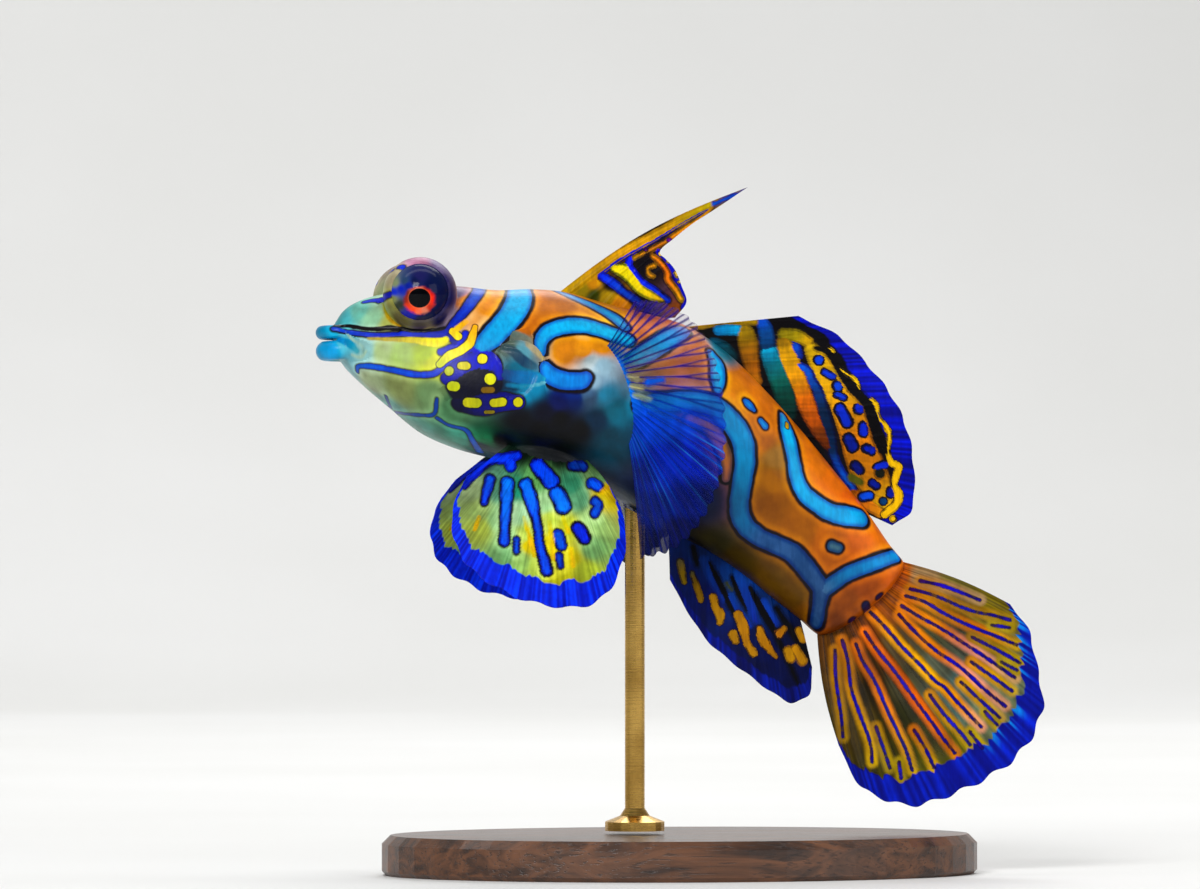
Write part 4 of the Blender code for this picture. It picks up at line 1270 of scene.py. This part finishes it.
# Anal fin
ANAL_GROUND = (
    (690, 570, "#06185c"), (710, 600, "#06125a"), (740, 640, "#06104c"), (770, 660, "#060e44"),
    (800, 640, "#040a30"), (790, 690, "#06104c"), (740, 580, "#0a4098"), (745, 590, "#0a3c98"),
    (760, 600, "#082c70"), (700, 560, "#08286a"),
)
ANAL_MARKS = (
    (((730, 597, 3), (738, 612, 3), (750, 626, 2.4)), ("#0a3ca8", "#0830a0"), 0),
    (((764, 602, 3.4), (770, 613, 3), (776, 624, 2.4)), ("#0a3ca8", "#0830a0"), 0),
    (((738, 572, 4), (746, 594, 5), (756, 621, 3)), ("#0c48b0", "#0a3ca8", "#08289a"), 0),
    (((704, 560, 4), (712, 580, 3.5), (724, 600, 2.5)), ("#0a3488", "#082c90"), 0),
    (((693, 547, 4), (697, 565, 3)), "#020206", 0),
    (((709, 563, 3), (720, 585, 4.4), (730, 605, 4), (740, 625, 3), (746, 641, 2)),
     ("#020206", "#020208"), 0),
    (((732, 577, 3), (738, 593, 3.6), (747, 611, 2)), ("#020206", "#020208"), 0),
    (((750, 588, 3.4), (762, 611, 4.8), (774, 631, 4.2), (786, 657, 3.2), (798, 684, 2)),
     ("#020206", "#020208"), 0),
    (((776, 608, 3), (794, 635, 4.6), (806, 653, 3.6), (815, 670, 2.2)),
     ("#020206", "#020208"), 0),
)
ANAL_UPPER = (
    (((680, 562, 3.4), (682, 572, 3.2), (684, 582, 2)), ("#5a5030", "#786028", "#806828"), 0.5),
    (((692, 573, 2.2), (697, 587, 2.8), (701, 600, 2.2)), ("#504a2c", "#8a6620", "#8a6620"), 0.5),
    (((713, 597, 3.2), (716, 607, 3.6), (720, 615, 4.4), (720, 622, 3)),
     ("#a87414", "#b07c14"), 0.5),
    (((732.5, 634, 3.8), (735.5, 640, 3.8)), "#a87414", 0.5),
    (((738, 615, 4), (744, 629, 4.6), (746, 641, 3), (753, 653, 4)),
     ("#a87010", "#b07410", "#a86e10", "#b07810"), 0.5),
    (((759, 629, 3.6), (764, 641, 4.6), (769, 649, 3), (776, 657, 1.6)),
     ("#b87a10", "#a86c10", "#906020"), 0.5),
    (((779, 634, 4.6), (784, 629, 2.6)), ("#b06c14", "#9a6418"), 0.5),
    (((788, 651, 4.6), (791, 658, 4.6)), "#b07a10", 0),
    (((795, 649, 4), (802, 661, 4.4)), ("#b87c10", "#b07810"), 0),
    (((798, 630, 3), (803, 639, 3.4)), "#b07a20", 0.5),
    (((727, 583, 2.6), (731, 590, 2)), "#38402c", 0),
)
ANAL_MARGIN = (5, 9, 12, 13, 14, 16, 12, 6)


def make_anal_sheet():
    """Deep blue with black and ochre bars."""
    fin = midline_fin(ANAL_ROOT, ANAL_TIPS, swaying(0.4, 2.5), edge=-1,
                      columns=190, rows=90, rays=8)
    obj = fin.made("fin_anal_sheet")
    view = fin.side_view()
    streak = streaks(fin, count=90, seed=5)
    ground = blend_zones(view, ANAL_GROUND)
    edge = margin_depth(fin, ANAL_MARGIN, wave=0.8, rays=15)
    margin = (edge, between(streak**2, "#030a60", "#0820a8"))
    paint_fin(obj, view, ANAL_MARKS, ANAL_UPPER, ground, margin, tone=0.7 + 0.5 * streak)
    return obj, "fin_anal", False


# Tail fin: violet-blue ray lines as (x, y), each with the colours of its orange sides
CAUDAL_RAYS = (
    (((835, 650), (836, 680), (841, 715), (843, 737)), ("#b87414", "#b89020")),
    (((842, 640), (848, 662), (851, 688), (860, 715), (870, 742), (872, 762)),
     ("#c87010", "#d09010", "#c8a020")),
    (((856, 644), (862, 660), (874, 680), (885, 705), (895, 727), (905, 748), (912, 770)),
     ("#e07010", "#e87c10", "#c8a020")),
    (((865, 632), (877, 650), (895, 672), (915, 700), (930, 720), (942, 737), (955, 753)),
     ("#f07010", "#f06808", "#d07820")),
    (((870, 612), (885, 627), (902, 647), (920, 665), (935, 681), (945, 688), (960, 705),
      (981, 727)), ("#f88010", "#ffb010", "#ffb808", "#f8a020", "#e8a888")),
    (((899, 615), (915, 632), (935, 650), (960, 667), (985, 690), (1005, 706)),
     ("#f08830", "#f08818", "#f0a088", "#e8b090")),
    (((902, 606), (920, 617), (940, 628), (962, 642), (985, 657), (1015, 678)),
     ("#f08838", "#f09030", "#f0a090", "#c8a070")),
    (((906, 596), (925, 602), (945, 614), (970, 626), (995, 636), (1017, 645)),
     ("#e08048", "#d08828", "#d87828", "#c8a020")),
    (((910, 589), (930, 594), (950, 602), (972, 611), (992, 615), (1010, 620)),
     ("#c88048", "#b08038", "#a88820")),
    (((920, 581), (940, 585), (960, 592), (980, 600)), ("#c08850", "#b89870")),
    (((972, 637), (997, 650), (1020, 663)), ("#a87a28", "#a89028")),
    (((971, 662), (990, 675), (1012, 691)), ("#e09018", "#c8a850")),
    (((961, 682), (980, 700), (1000, 718)), ("#d89820", "#c8a860")),
    (((930, 695), (942, 712), (960, 732), (970, 745)), ("#d89018", "#b8a040")),
    (((914, 730), (925, 748), (934, 768)), ("#c86c10", "#c8a020")),
    (((876, 727), (882, 745), (890, 768)), ("#a87810", "#a08820")),
    (((899, 762), (901, 778)), "#a08820"),
    (((1001, 662), (1017, 670)), "#a89028"),
    (((992, 625), (1010, 628)), "#a89028"),
    (((985, 712), (997, 725)), "#b8a040"),
    (((970, 732), (982, 748)), "#b8a040"),
)
CAUDAL_GROUND = (
    (850, 600, "#a04c10"), (870, 600, "#b85818"), (895, 575, "#d0642c"), (890, 600, "#a85820"),
    (860, 620, "#7a3c0c"), (840, 640, "#5a3408"), (925, 578, "#b09068"), (950, 588, "#8a8040"),
    (985, 610, "#8a7a28"), (920, 612, "#5a4c28"), (950, 625, "#4c5038"), (990, 650, "#6a6c48"),
    (930, 640, "#4a4c30"), (900, 650, "#5c5038"), (940, 665, "#5c6450"), (965, 680, "#54706a"),
    (950, 700, "#4c6c64"), (905, 680, "#4a4830"), (880, 660, "#50381c"), (870, 690, "#2c2410"),
    (900, 720, "#2c2c14"), (925, 735, "#4a4c18"), (890, 750, "#3c3810"), (855, 720, "#4c3c10"),
    (850, 680, "#5c4014"), (945, 755, "#6a6820"), (990, 700, "#7c8c68"), (840, 720, "#5a4818"),
)
CAUDAL_MARGIN = (3, 12, 20, 27, 29, 31, 32, 32, 28, 26, 24, 9)
FRINGE_X, FRINGE_Y = (930, 1000), (720, 770)
RAY_GLOW = 8
RAY_LINE = (0.7, ("#3c1450", "#1408c8", "#200c88"), 0.4)


def caudal():
    """The tail fin's grid: its rays fan out of the end of the tail stalk and flare."""
    centre, up, _, _ = section(TAIL_END)
    upward = unit(up)
    sway = swaying(0.3, 2)

    def bow(u, v):
        flare = np.sin(np.pi * v) * (0.5 - u)
        return sway(u, v) + flare[..., None] * upward

    return Fin(lambda u: centre + up * 0.93 * (1 - 2 * u)[:, None],
               lambda u: midline_tips(CAUDAL_TIPS, u), bow, columns=420, rows=200, rays=12)


def glowing(view, ground, lines, reach):
    """Ground colours with a soft glow of its own colours along each line."""
    for line, codes in lines:
        rows = np.array([(x, y, 0) for x, y in rounded(line)], float)
        off, share = chain_field(view, rows, 2 * reach)
        strength = 1 - smooth_step(-off, 0.35 * reach, reach)
        ground = mixed(ground, shade_along(codes, share), strength)
    return ground


def caudal_margin(fin, view, streak):
    """Depth in the tail fin's margin, and its deep blue with a paler fringe at the top."""
    edge = margin_depth(fin, CAUDAL_MARGIN, wave=2.2, rays=20)
    bright = smooth_step(view[:, 0], *FRINGE_X) * (1 - smooth_step(view[:, 1], *FRINGE_Y))
    fringe = np.exp(-(edge / 9) ** 2) * smooth_step(streak, 0.55, 0.8) * bright
    return edge, mixed(between(streak**2, "#030c88", "#0a28e0"), rgb("#3a9cf8"), fringe)


def make_caudal_sheet():
    """The tail fin: orange rays with violet-blue middles, and a deep blue margin."""
    fin = caudal()
    obj = fin.made("fin_caudal_sheet", ridge=0.09, ray_width=0.16)
    view = fin.side_view()
    streak = streaks(fin, count=150, seed=6)
    margin = caudal_margin(fin, view, streak)
    ground = blend_zones(view, CAUDAL_GROUND) * (0.35 + 0.8 * streak)[:, None]
    ground = glowing(view, ground, CAUDAL_RAYS, RAY_GLOW) * (0.85 + 0.3 * streak)[:, None]
    half_width, codes, outline = RAY_LINE
    middles = [
        (tuple((x, y, half_width) for x, y in line), codes, outline) for line, _ in CAUDAL_RAYS
    ]
    clear = 0.9 + 0.1 * np.exp(-(fin.ray_off.ravel() / 0.25) ** 2)
    solid = np.where(margin[0] > -3, 1.0, np.maximum(clear, 1 - fin.v.ravel() * 2))
    paint_fin(obj, view, (), middles, ground, margin, solid)
    return obj, "fin_caudal", True


# Pectoral fins
PECTORAL_GROUND = (
    (620, 350, "#3a86c8"), (640, 325, "#5a4a9a"), (670, 315, "#8a6a98"), (665, 340, "#6a88b8"),
    (700, 345, "#a8808c"), (690, 365, "#a87c90"), (660, 365, "#b08870"), (645, 378, "#b0945c"),
    (640, 392, "#6a8aa0"), (690, 390, "#1c60e0"), (660, 400, "#0c60f0"), (700, 420, "#0844e0"),
    (650, 430, "#084cf8"), (700, 455, "#0628c8"), (640, 470, "#0628a8"), (660, 460, "#0830d8"),
    (690, 500, "#061c80"), (650, 510, "#061c70"), (680, 535, "#060f4a"), (630, 440, "#0844c8"),
    (640, 540, "#061040"),
)
PECTORAL_MARKS = (
    (((606, 357, 7), (615, 366, 8), (621, 378, 8), (625, 392, 8.5), (632, 403, 8),
      (644, 412, 5)), ("#0a58e8", "#1078f8", "#1c8cff", "#1478f8", "#0a50e8"), 0),
    (((648, 382, 4), (662, 380, 3)), ("#0a60e8", "#1a60d8"), 0),
)
PECTORAL_UPPER = (
    (((629, 376, 2), (637, 379, 2.4)), ("#a8a880", "#b0a878"), 0),
    (((632, 386, 2), (642, 388, 2.4)), ("#b8b888", "#b0a878"), 0),
    (((635, 395, 2), (650, 399, 2.6)), ("#a8b890", "#90a888"), 0),
)
PECTORAL_LOW_Y = (385, 430)
PALE_FROM_Y, PALE_TO_Y = (425, 445), (480, 520)


def pectoral(side):
    ends = [sided(flank_at(x, y), side) for x, y in PECTORAL_ROOT]

    def root(u):
        return smooth_curve(ends, u) + (0.4, -side * 0.80, 0)

    def tip(u):
        x, y = smooth_curve(PECTORAL_TIPS, u).T
        reach = smooth_curve([(r,) for r in PECTORAL_REACH], u)[:, 0]
        return place(x, y, -reach) * (1, -side, 1)

    return Fin(root, tip, cupped(side * 0.6),
               columns=280, rows=120, rays=26, sink=0, split=0.55, scallop=0.03)


def pectoral_solidity(fin, view, streak, on_ray, low):
    """How solid the pectoral fin is at each point: clear above, denser below and on its rays,
    at its root and in its blue band, and clearer again towards its rim."""
    u, v = fin.u.ravel(), fin.v.ravel()
    solid = 0.10 + 0.50 * low + (0.70 - 0.45 * low) * on_ray + 0.25 * v**2 * low
    solid = solid + 0.25 * (streak - 0.5) * low + 0.6 * (1 - smooth_step(v, 0.05, 0.35))
    band = paint(view, PECTORAL_MARKS, np.array, FLAT_REACH)[0]
    solid = np.maximum(solid, 0.95 * smooth_step(band, -3, 3))
    solid = solid * (1 - 0.2 * smooth_step(u, 0.86, 1.0) * smooth_step(v, 0.1, 0.5))
    tips = smooth_step(v, 0.62, 1.0) * (1 - smooth_step(u, 0.7, 0.85))
    return np.clip(solid * (1 - 0.55 * tips * low * (1 - 0.5 * on_ray)), 0, 1)


def make_pectoral_sheet(side):
    """A translucent fan with blue rays. Both sides are coloured from the near one's view."""
    near = pectoral(LEFT)
    fin = near if side == LEFT else pectoral(side)
    word = SIDE_WORDS[side]
    obj = fin.made(f"fin_pectoral_{word}_sheet", membrane=0.05, ridge=0.06, ray_width=0.08)
    view = near.side_view()
    streak = streaks(fin, count=160, seed=8)
    on_ray = np.exp(-(fin.ray_off.ravel() / 0.085) ** 2)
    low = smooth_step(view[:, 1], *PECTORAL_LOW_Y)
    ground = blend_zones(view, PECTORAL_GROUND) * (0.6 + 0.6 * streak)[:, None]
    ground = mixed(ground, rgb("#1c1c90"), on_ray * (1 - 0.8 * low))
    pale = smooth_step(view[:, 1], *PALE_FROM_Y) * (1 - smooth_step(view[:, 1], *PALE_TO_Y))
    ground = mixed(ground, rgb("#7ab8e0"), 0.55 * (pale * smooth_step(streak, 0.72, 0.92)))
    solid = pectoral_solidity(fin, view, streak, on_ray, low)
    paint_fin(obj, view, PECTORAL_MARKS, PECTORAL_UPPER, ground, solid=solid)
    return obj, f"fin_pectoral_{word}", True


# Pelvic fins
PELVIC_GROUND = (
    (480, 460, "#08202c"), (520, 452, "#03100a"), (560, 455, "#08180f"), (600, 462, "#143014"),
    (470, 490, "#7a9068"), (478, 512, "#86a060"), (499, 490, "#4c8068"), (497, 520, "#86b078"),
    (518, 490, "#2c7a60"), (517, 515, "#94c090"), (525, 537, "#a0b858"), (520, 560, "#8cb468"),
    (545, 505, "#94c488"), (536, 480, "#5c9858"), (552, 548, "#c4b430"), (550, 520, "#b0c458"),
    (568, 528, "#a8b040"), (571, 560, "#b8b040"), (592, 550, "#6c9860"), (530, 545, "#c4b030"),
    (580, 500, "#5c9870"), (571, 486, "#3c8060"), (602, 500, "#b8a840"), (606, 492, "#c0a030"),
    (592, 520, "#98c078"), (480, 528, "#98a850"), (600, 478, "#4c7048"), (505, 556, "#74a870"),
    (585, 570, "#a0b048"), (510, 540, "#90c080"), (540, 565, "#a8c058"), (560, 580, "#b0b040"),
)
PELVIC_UPPER = (
    (((479, 518, 1.4), (475, 530, 1)), ("#d8a828", "#d89818"), 0),
    (((524, 518, 1), (530, 540, 1.6), (534, 556, 1.2)), ("#c8c038", "#f0b818", "#d8a818"), 0),
    (((549, 522, 1), (552, 542, 1.8), (553, 560, 1.2)), ("#c8c848", "#f0c820", "#d8a820"), 0),
    (((563, 518, 1), (568, 532, 1.8)), ("#d8d048", "#e8c028"), 0),
    (((571, 550, 1.8), (573, 566, 1.4)), ("#e8c828", "#d8a820"), 0),
    (((602, 492, 2), (609, 487, 1.8)), ("#d8a828", "#d8a020"), 0),
)
PELVIC_MARKS = (
    (((465, 486, 3), (475, 474, 3.6), (489, 461, 4.2), (503, 459, 4.6), (517, 456, 4)),
     ("#0a24c8", "#0828e0", "#0838f0", "#0830e0"), 0.8),
    (((509, 461, 5), (510.5, 467, 5)), ("#0838f8", "#0840f8"), 0.8),
    (((490, 480, 4.4), (484, 502, 3)), ("#1058f0", "#0c40e0"), 1.6),
    (((507, 484, 6), (506, 506, 5), (505, 526, 4), (504, 542, 4.4)),
     ("#1478f8", "#1068f0", "#0c50e8"), 1.6),
    (((526, 486, 6.2), (531, 500, 5.5), (535, 516, 4), (538, 530, 3.4), (540, 546, 3.4),
      (544, 560, 4.4), (547, 571, 4.6)), ("#1474f8", "#0c58f0", "#0c48e0", "#0c48e8"), 1.6),
    (((537, 466, 6.2), (551, 482, 7)), ("#0840f8", "#0850f8"), 1.8),
    (((557, 494, 6.8), (563, 506, 7.4)), ("#0870f8", "#0878f8"), 1.8),
    (((516.5, 540, 2.6), (516.5, 552, 2.6)), "#0c50d8", 1),
    (((558, 536, 5), (561, 546, 4.4)), "#0c50d8", 1.2),
    (((559, 556, 2.8), (560, 566, 2.8)), "#1040c0", 1),
    (((578, 528, 5.2), (584, 538, 5.2)), "#0828e0", 1.8),
    (((573, 466, 4.8), (583, 467, 4.2)), "#0a3090", 1.5),
    (((592, 484, 4.6), (598, 487, 4.6)), "#0c54e8", 1.2),
    (((595, 502, 4.2), (598, 506, 4), (594, 514, 4)), ("#0c58e0", "#0c50d8"), 1.2),
)
PELVIC_MARGIN = (3, 5, 12, 16, 22, 28, 30, 27, 32, 26, 21, 16, 10, 3)


def pelvic(side):
    splay = pelvic_splay(side)
    shift = 0 if side == LEFT else FAR_PELVIC_SHIFT
    base = -flank(sum(PELVIC_ROOT) / 2, PELVIC_DROP, LEFT)[1]

    def tip(u):
        x, y = smooth_curve(PELVIC_TIPS, u).T
        reach = (y - PELVIC_ROOT_Y) * UNIT / math.cos(PELVIC_SPLAY)
        near = place(x + shift, y, -base - reach * math.sin(PELVIC_SPLAY))
        hinge = near[:, 2] + reach * math.cos(PELVIC_SPLAY)
        out = base + reach * math.sin(splay)
        return np.stack([near[:, 0], side * out, hinge - reach * math.cos(splay)], axis=-1)

    return Fin(lambda u: pelvic_root(side, u), tip, cupped(side * 0.7),
               columns=300, rows=140, rays=12, sink=0, split=0.3)


def make_pelvic_sheet(side):
    """A broad green-yellow fan with blue shapes and a deep blue margin."""
    near = pelvic(LEFT)
    fin = near if side == LEFT else pelvic(side)
    word = SIDE_WORDS[side]
    obj = fin.made(f"fin_pelvic_{word}_sheet")
    view = near.side_view()
    streak = streaks(fin, count=210, seed=9)
    ground = blend_zones(view, PELVIC_GROUND)
    edge = margin_depth(fin, PELVIC_MARGIN, wave=1.6, rays=23)
    margin = (edge, between(streak**1.5, "#0614c0", "#0a38f8"))
    paint_fin(obj, view, PELVIC_MARKS, PELVIC_UPPER, ground, margin, tone=0.7 + 0.8 * streak)
    return obj, f"fin_pelvic_{word}", False


def make_fins():
    """All fins with their colours, as (object, node, see-through)."""
    fins = [make_first_dorsal_sheet(), make_second_dorsal_sheet(), make_anal_sheet()]
    fins.append(make_caudal_sheet())
    for side in SIDE_WORDS:
        fins.append(make_pectoral_sheet(side))
        fins.append(make_pelvic_sheet(side))
    return fins


# Eyes: colours of the iris, with a painted highlight at its bottom, and of the eyeball round it,
# as zones of (x, y, colour)
EYE_IRIS_AND_HIGHLIGHT = (
    # pinkish zones at the bottom of the iris, (425, 312) and (419, 313): painted highlight
    (432, 291, "#c81408"), (435, 300, "#f42408"), (431, 308, "#b02814"), (425, 312, "#e08468"),
    (419, 313, "#ff6c48"), (411, 312, "#ff4414"), (405, 308, "#d83410"), (403, 300, "#742010"),
    (405, 292, "#642018"), (411, 287, "#a04838"), (419, 286, "#c86858"), (427, 287, "#902418"),
)
EYE_BALL = (
    (395, 283, "#788660"), (393, 299, "#788048"), (399, 305, "#283020"), (396, 312, "#40441c"),
    (405, 281, "#243c5c"), (401, 289, "#0a20a8"), (394, 292, "#0c28c0"), (408, 285.5, "#081c88"),
    (402, 317, "#0c18b0"), (409, 315, "#1418a0"), (419, 276, "#181850"), (436, 280, "#06123c"),
    (443, 296, "#060c38"), (438, 312, "#060c3c"), (419, 323, "#201c38"), (430, 320, "#0c1840"),
    (415, 281, "#040e3c"), (430, 286, "#040e3c"),
)
EYE_BLEND_SCALE = 6
EYE_SOFTNESS = 1.7
EYE_VIEW_REACH = 30


def make_eye(side, columns=200, rows=110):
    """An eyeball; its points keep where they lie round the pupil, in side-view units."""
    forward = gaze(side)
    along = unit(np.cross((0, 0, 1), forward))
    axes = np.stack([along, np.cross(forward, along), forward])
    polar = np.linspace(0.001, math.pi - 0.001, rows)
    turn = 2 * np.pi * np.arange(columns) / columns
    local = np.stack([
        np.sin(polar)[:, None] * np.cos(turn), np.sin(polar)[:, None] * np.sin(turn),
        np.cos(polar)[:, None] * np.ones(columns),
    ], axis=-1).reshape(-1, 3)
    points = eye_centre(side) + local @ axes * EYE_RADIUS
    obj = make_mesh(f"eye_{SIDE_WORDS[side]}_ball", points, ring_faces(rows, columns))
    view = seen_at(points * (1, -side, 1)) - PUPIL
    behind = local[:, 2] < 0.1
    view[behind] = unit(view[behind]) * EYE_VIEW_REACH
    iris, white = [
        blend_zones(view, zones, EYE_BLEND_SCALE, EYE_SOFTNESS, PUPIL)
        for zones in (EYE_IRIS_AND_HIGHLIGHT, EYE_BALL)
    ]
    store(obj, iris=iris, ball=white, eye_x=view[:, 0], eye_y=view[:, 1])
    obj.data.materials.append(eye_material())
    return obj


def eye_material():
    """A black pupil in a red iris, with the eyeball's blue round it."""
    nodes = Nodes("eye")
    x, y = nodes.number("eye_x"), nodes.number("eye_y")

    def radius(wide, tall, shift=0.0):
        """Distance from the pupil's middle, as a share of an oval's."""
        a = nodes.math("POWER", nodes.math("ABSOLUTE", nodes.math("DIVIDE", x, wide)), 2.0)
        lower = nodes.minus(y, shift)
        b = nodes.math("POWER", nodes.math("ABSOLUTE", nodes.math("DIVIDE", lower, tall)), 2.0)
        return nodes.math("SQRT", nodes.plus(a, b))

    grain = nodes.noise(0.22, 4.0)
    fleck = nodes.times(nodes.step(grain, 0.35, 0.75), 0.5)
    iris = nodes.mix(fleck, nodes.colour("iris"), paint_code("#ff9040"), "OVERLAY")
    wobble = nodes.times(nodes.minus(grain, 0.5), 0.35)
    outer = nodes.plus(radius(15.6, 13.8, 2.2), wobble)
    colour = nodes.mix(nodes.step(outer, 0.88, 1.12), iris, nodes.colour("ball"))
    pupil = radius(10.8, 9.6)
    ring = nodes.times(nodes.step(pupil, 1.15, 1.04), 0.2)
    colour = nodes.mix(ring, colour, paint_code("#ff7a3a"))
    colour = nodes.mix(nodes.step(pupil, 1.05, 0.97), colour, paint_code("#000003"))
    return nodes.finish(Base_Color=colour, Roughness=0.25, Specular_IOR_Level=0.03,
                        Coat_Weight=0.16, Coat_Roughness=0.06)


def wood_material():
    """Satin walnut with long grain and dark pores."""
    nodes = Nodes("stand_walnut")
    grain = nodes.grain((25.0, 220.0, 220.0), Scale=3.0, Detail=8.0, Roughness=0.6,
                        Distortion=1.2)
    pore = nodes.step(nodes.grain((120.0, 2600.0, 2600.0), Scale=2.0, Detail=3.0), 0.56, 0.66)
    colour = nodes.mix(nodes.step(grain, 0.3, 0.7), paint_code("#2c1a10"), paint_code("#6b4227"))
    colour = nodes.mix(nodes.times(pore, 0.6), colour, paint_code("#1a0e08"))
    height = nodes.minus(nodes.times(grain, 0.4), pore)
    return nodes.finish(
        Base_Color=colour, Roughness=nodes.plus(nodes.times(grain, 0.2), 0.28),
        Normal=nodes.bump(height, 0.04, 0.5), Coat_Weight=0.2, Coat_Roughness=0.2,
    )


def brass_material():
    """Turned brass, a little tarnished."""
    nodes = Nodes("stand_brass")
    turned = nodes.grain((300.0, 300.0, 9000.0), Scale=1.0, Detail=3.0)
    tarnish = nodes.step(nodes.noise(2.5, 4.0), 0.35, 0.75)
    return nodes.finish(
        Base_Color=nodes.mix(tarnish, paint_code("#d8ae5c"), paint_code("#a8813c")),
        Roughness=nodes.plus(nodes.times(turned, 0.25), 0.15), Metallic=1.0,
        Normal=nodes.bump(turned, 0.02, 0.3),
    )


def dress_stand():
    """Gives the two CAD nodes of the stand their materials."""
    for name, material in (("stand_base", wood_material()), ("stand_rod", brass_material())):
        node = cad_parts[name]
        node.data.materials.clear()
        node.data.materials.append(material)


def make_room():
    """A pale floor that sweeps up into the backdrop."""
    nodes = Nodes("studio_floor")
    tone = nodes.step(nodes.noise(60.0), 0.3, 0.7)
    colour = nodes.mix(tone, paint_code("#dcdcda"), paint_code("#e2e2e1"))
    nodes.finish(Base_Color=colour, Roughness=0.6)
    profile = [(FLOOR_FRONT, 0.0), (FLOOR_BACK, 0.0)]
    for k in range(1, COVE_STEPS + 1):
        angle = math.radians(90 * k / COVE_STEPS)
        profile.append((FLOOR_BACK + COVE_RADIUS * math.sin(angle),
                        COVE_RADIUS - COVE_RADIUS * math.cos(angle)))
    profile.append((FLOOR_BACK + COVE_RADIUS, WALL_TOP))
    points, faces = [], []
    for y, z in profile:
        points += [(-FLOOR_SIDE, y, z), (FLOOR_SIDE, y, z)]
    for k in range(len(profile) - 1):
        faces.append((2 * k, 2 * k + 1, 2 * k + 3, 2 * k + 2))
    mesh = bpy.data.meshes.new("studio_floor")
    mesh.from_pydata(points, [], faces)
    mesh.shade_smooth()
    mesh.materials.append(nodes.material)
    put_in_scene("studio_floor", mesh)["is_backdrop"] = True


def softbox(name, location, size, power, aim):
    light = bpy.data.lights.new(name, "AREA")
    light.shape = "RECTANGLE"
    light.size, light.size_y = size
    light.energy = power
    obj = put_in_scene(name, light)
    obj.location = location
    obj.rotation_mode = "QUATERNION"
    obj.rotation_quaternion = (Vector(aim) - Vector(location)).to_track_quat("-Z", "Y")


def make_lights():
    """Soft studio light: the softboxes and a faint even sky."""
    for box in SOFTBOXES:
        softbox(*box)
    world = bpy.data.worlds.new("studio")
    world.use_nodes = True
    background = world.node_tree.nodes["Background"]
    background.inputs["Color"].default_value = (1, 1, 1, 1)
    background.inputs["Strength"].default_value = WORLD_STRENGTH
    bpy.context.scene.world = world


def make_camera():
    camera = put_in_scene("camera", bpy.data.cameras.new("camera"))
    camera.data.lens = LENS
    camera.data.sensor_width = SENSOR
    camera.data.clip_start = 0.01
    camera.data.clip_end = 10
    camera.location = Vector((TARGET - AHEAD * SIGHT) * TO_METRES)
    camera.rotation_mode = "QUATERNION"
    camera.rotation_quaternion = Vector(AHEAD).to_track_quat("-Z", "Y")
    bpy.context.scene.camera = camera


def main():
    skin = make_skin()
    skin.data.materials.append(skin_material())
    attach(skin, "root")
    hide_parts("head", "trunk", "tail_stalk")
    solid, clear = fin_material("fin"), fin_material("fin_clear", see_through=True)
    for obj, node, see_through in make_fins():
        obj.data.materials.append(clear if see_through else solid)
        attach(obj, "root")
        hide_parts(node)
    for side, word in SIDE_WORDS.items():
        eye = make_eye(side)
        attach(eye, "root")
        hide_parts(f"eye_{word}")
    dress_stand()
    make_room()
    make_lights()
    make_camera()
    bpy.context.scene.view_settings.view_transform = "Standard"
    boxes = {"cad": CAD_BOX, "visual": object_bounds()}
    {key: [list(corner) for corner in box] for key, box in boxes.items()}


main()
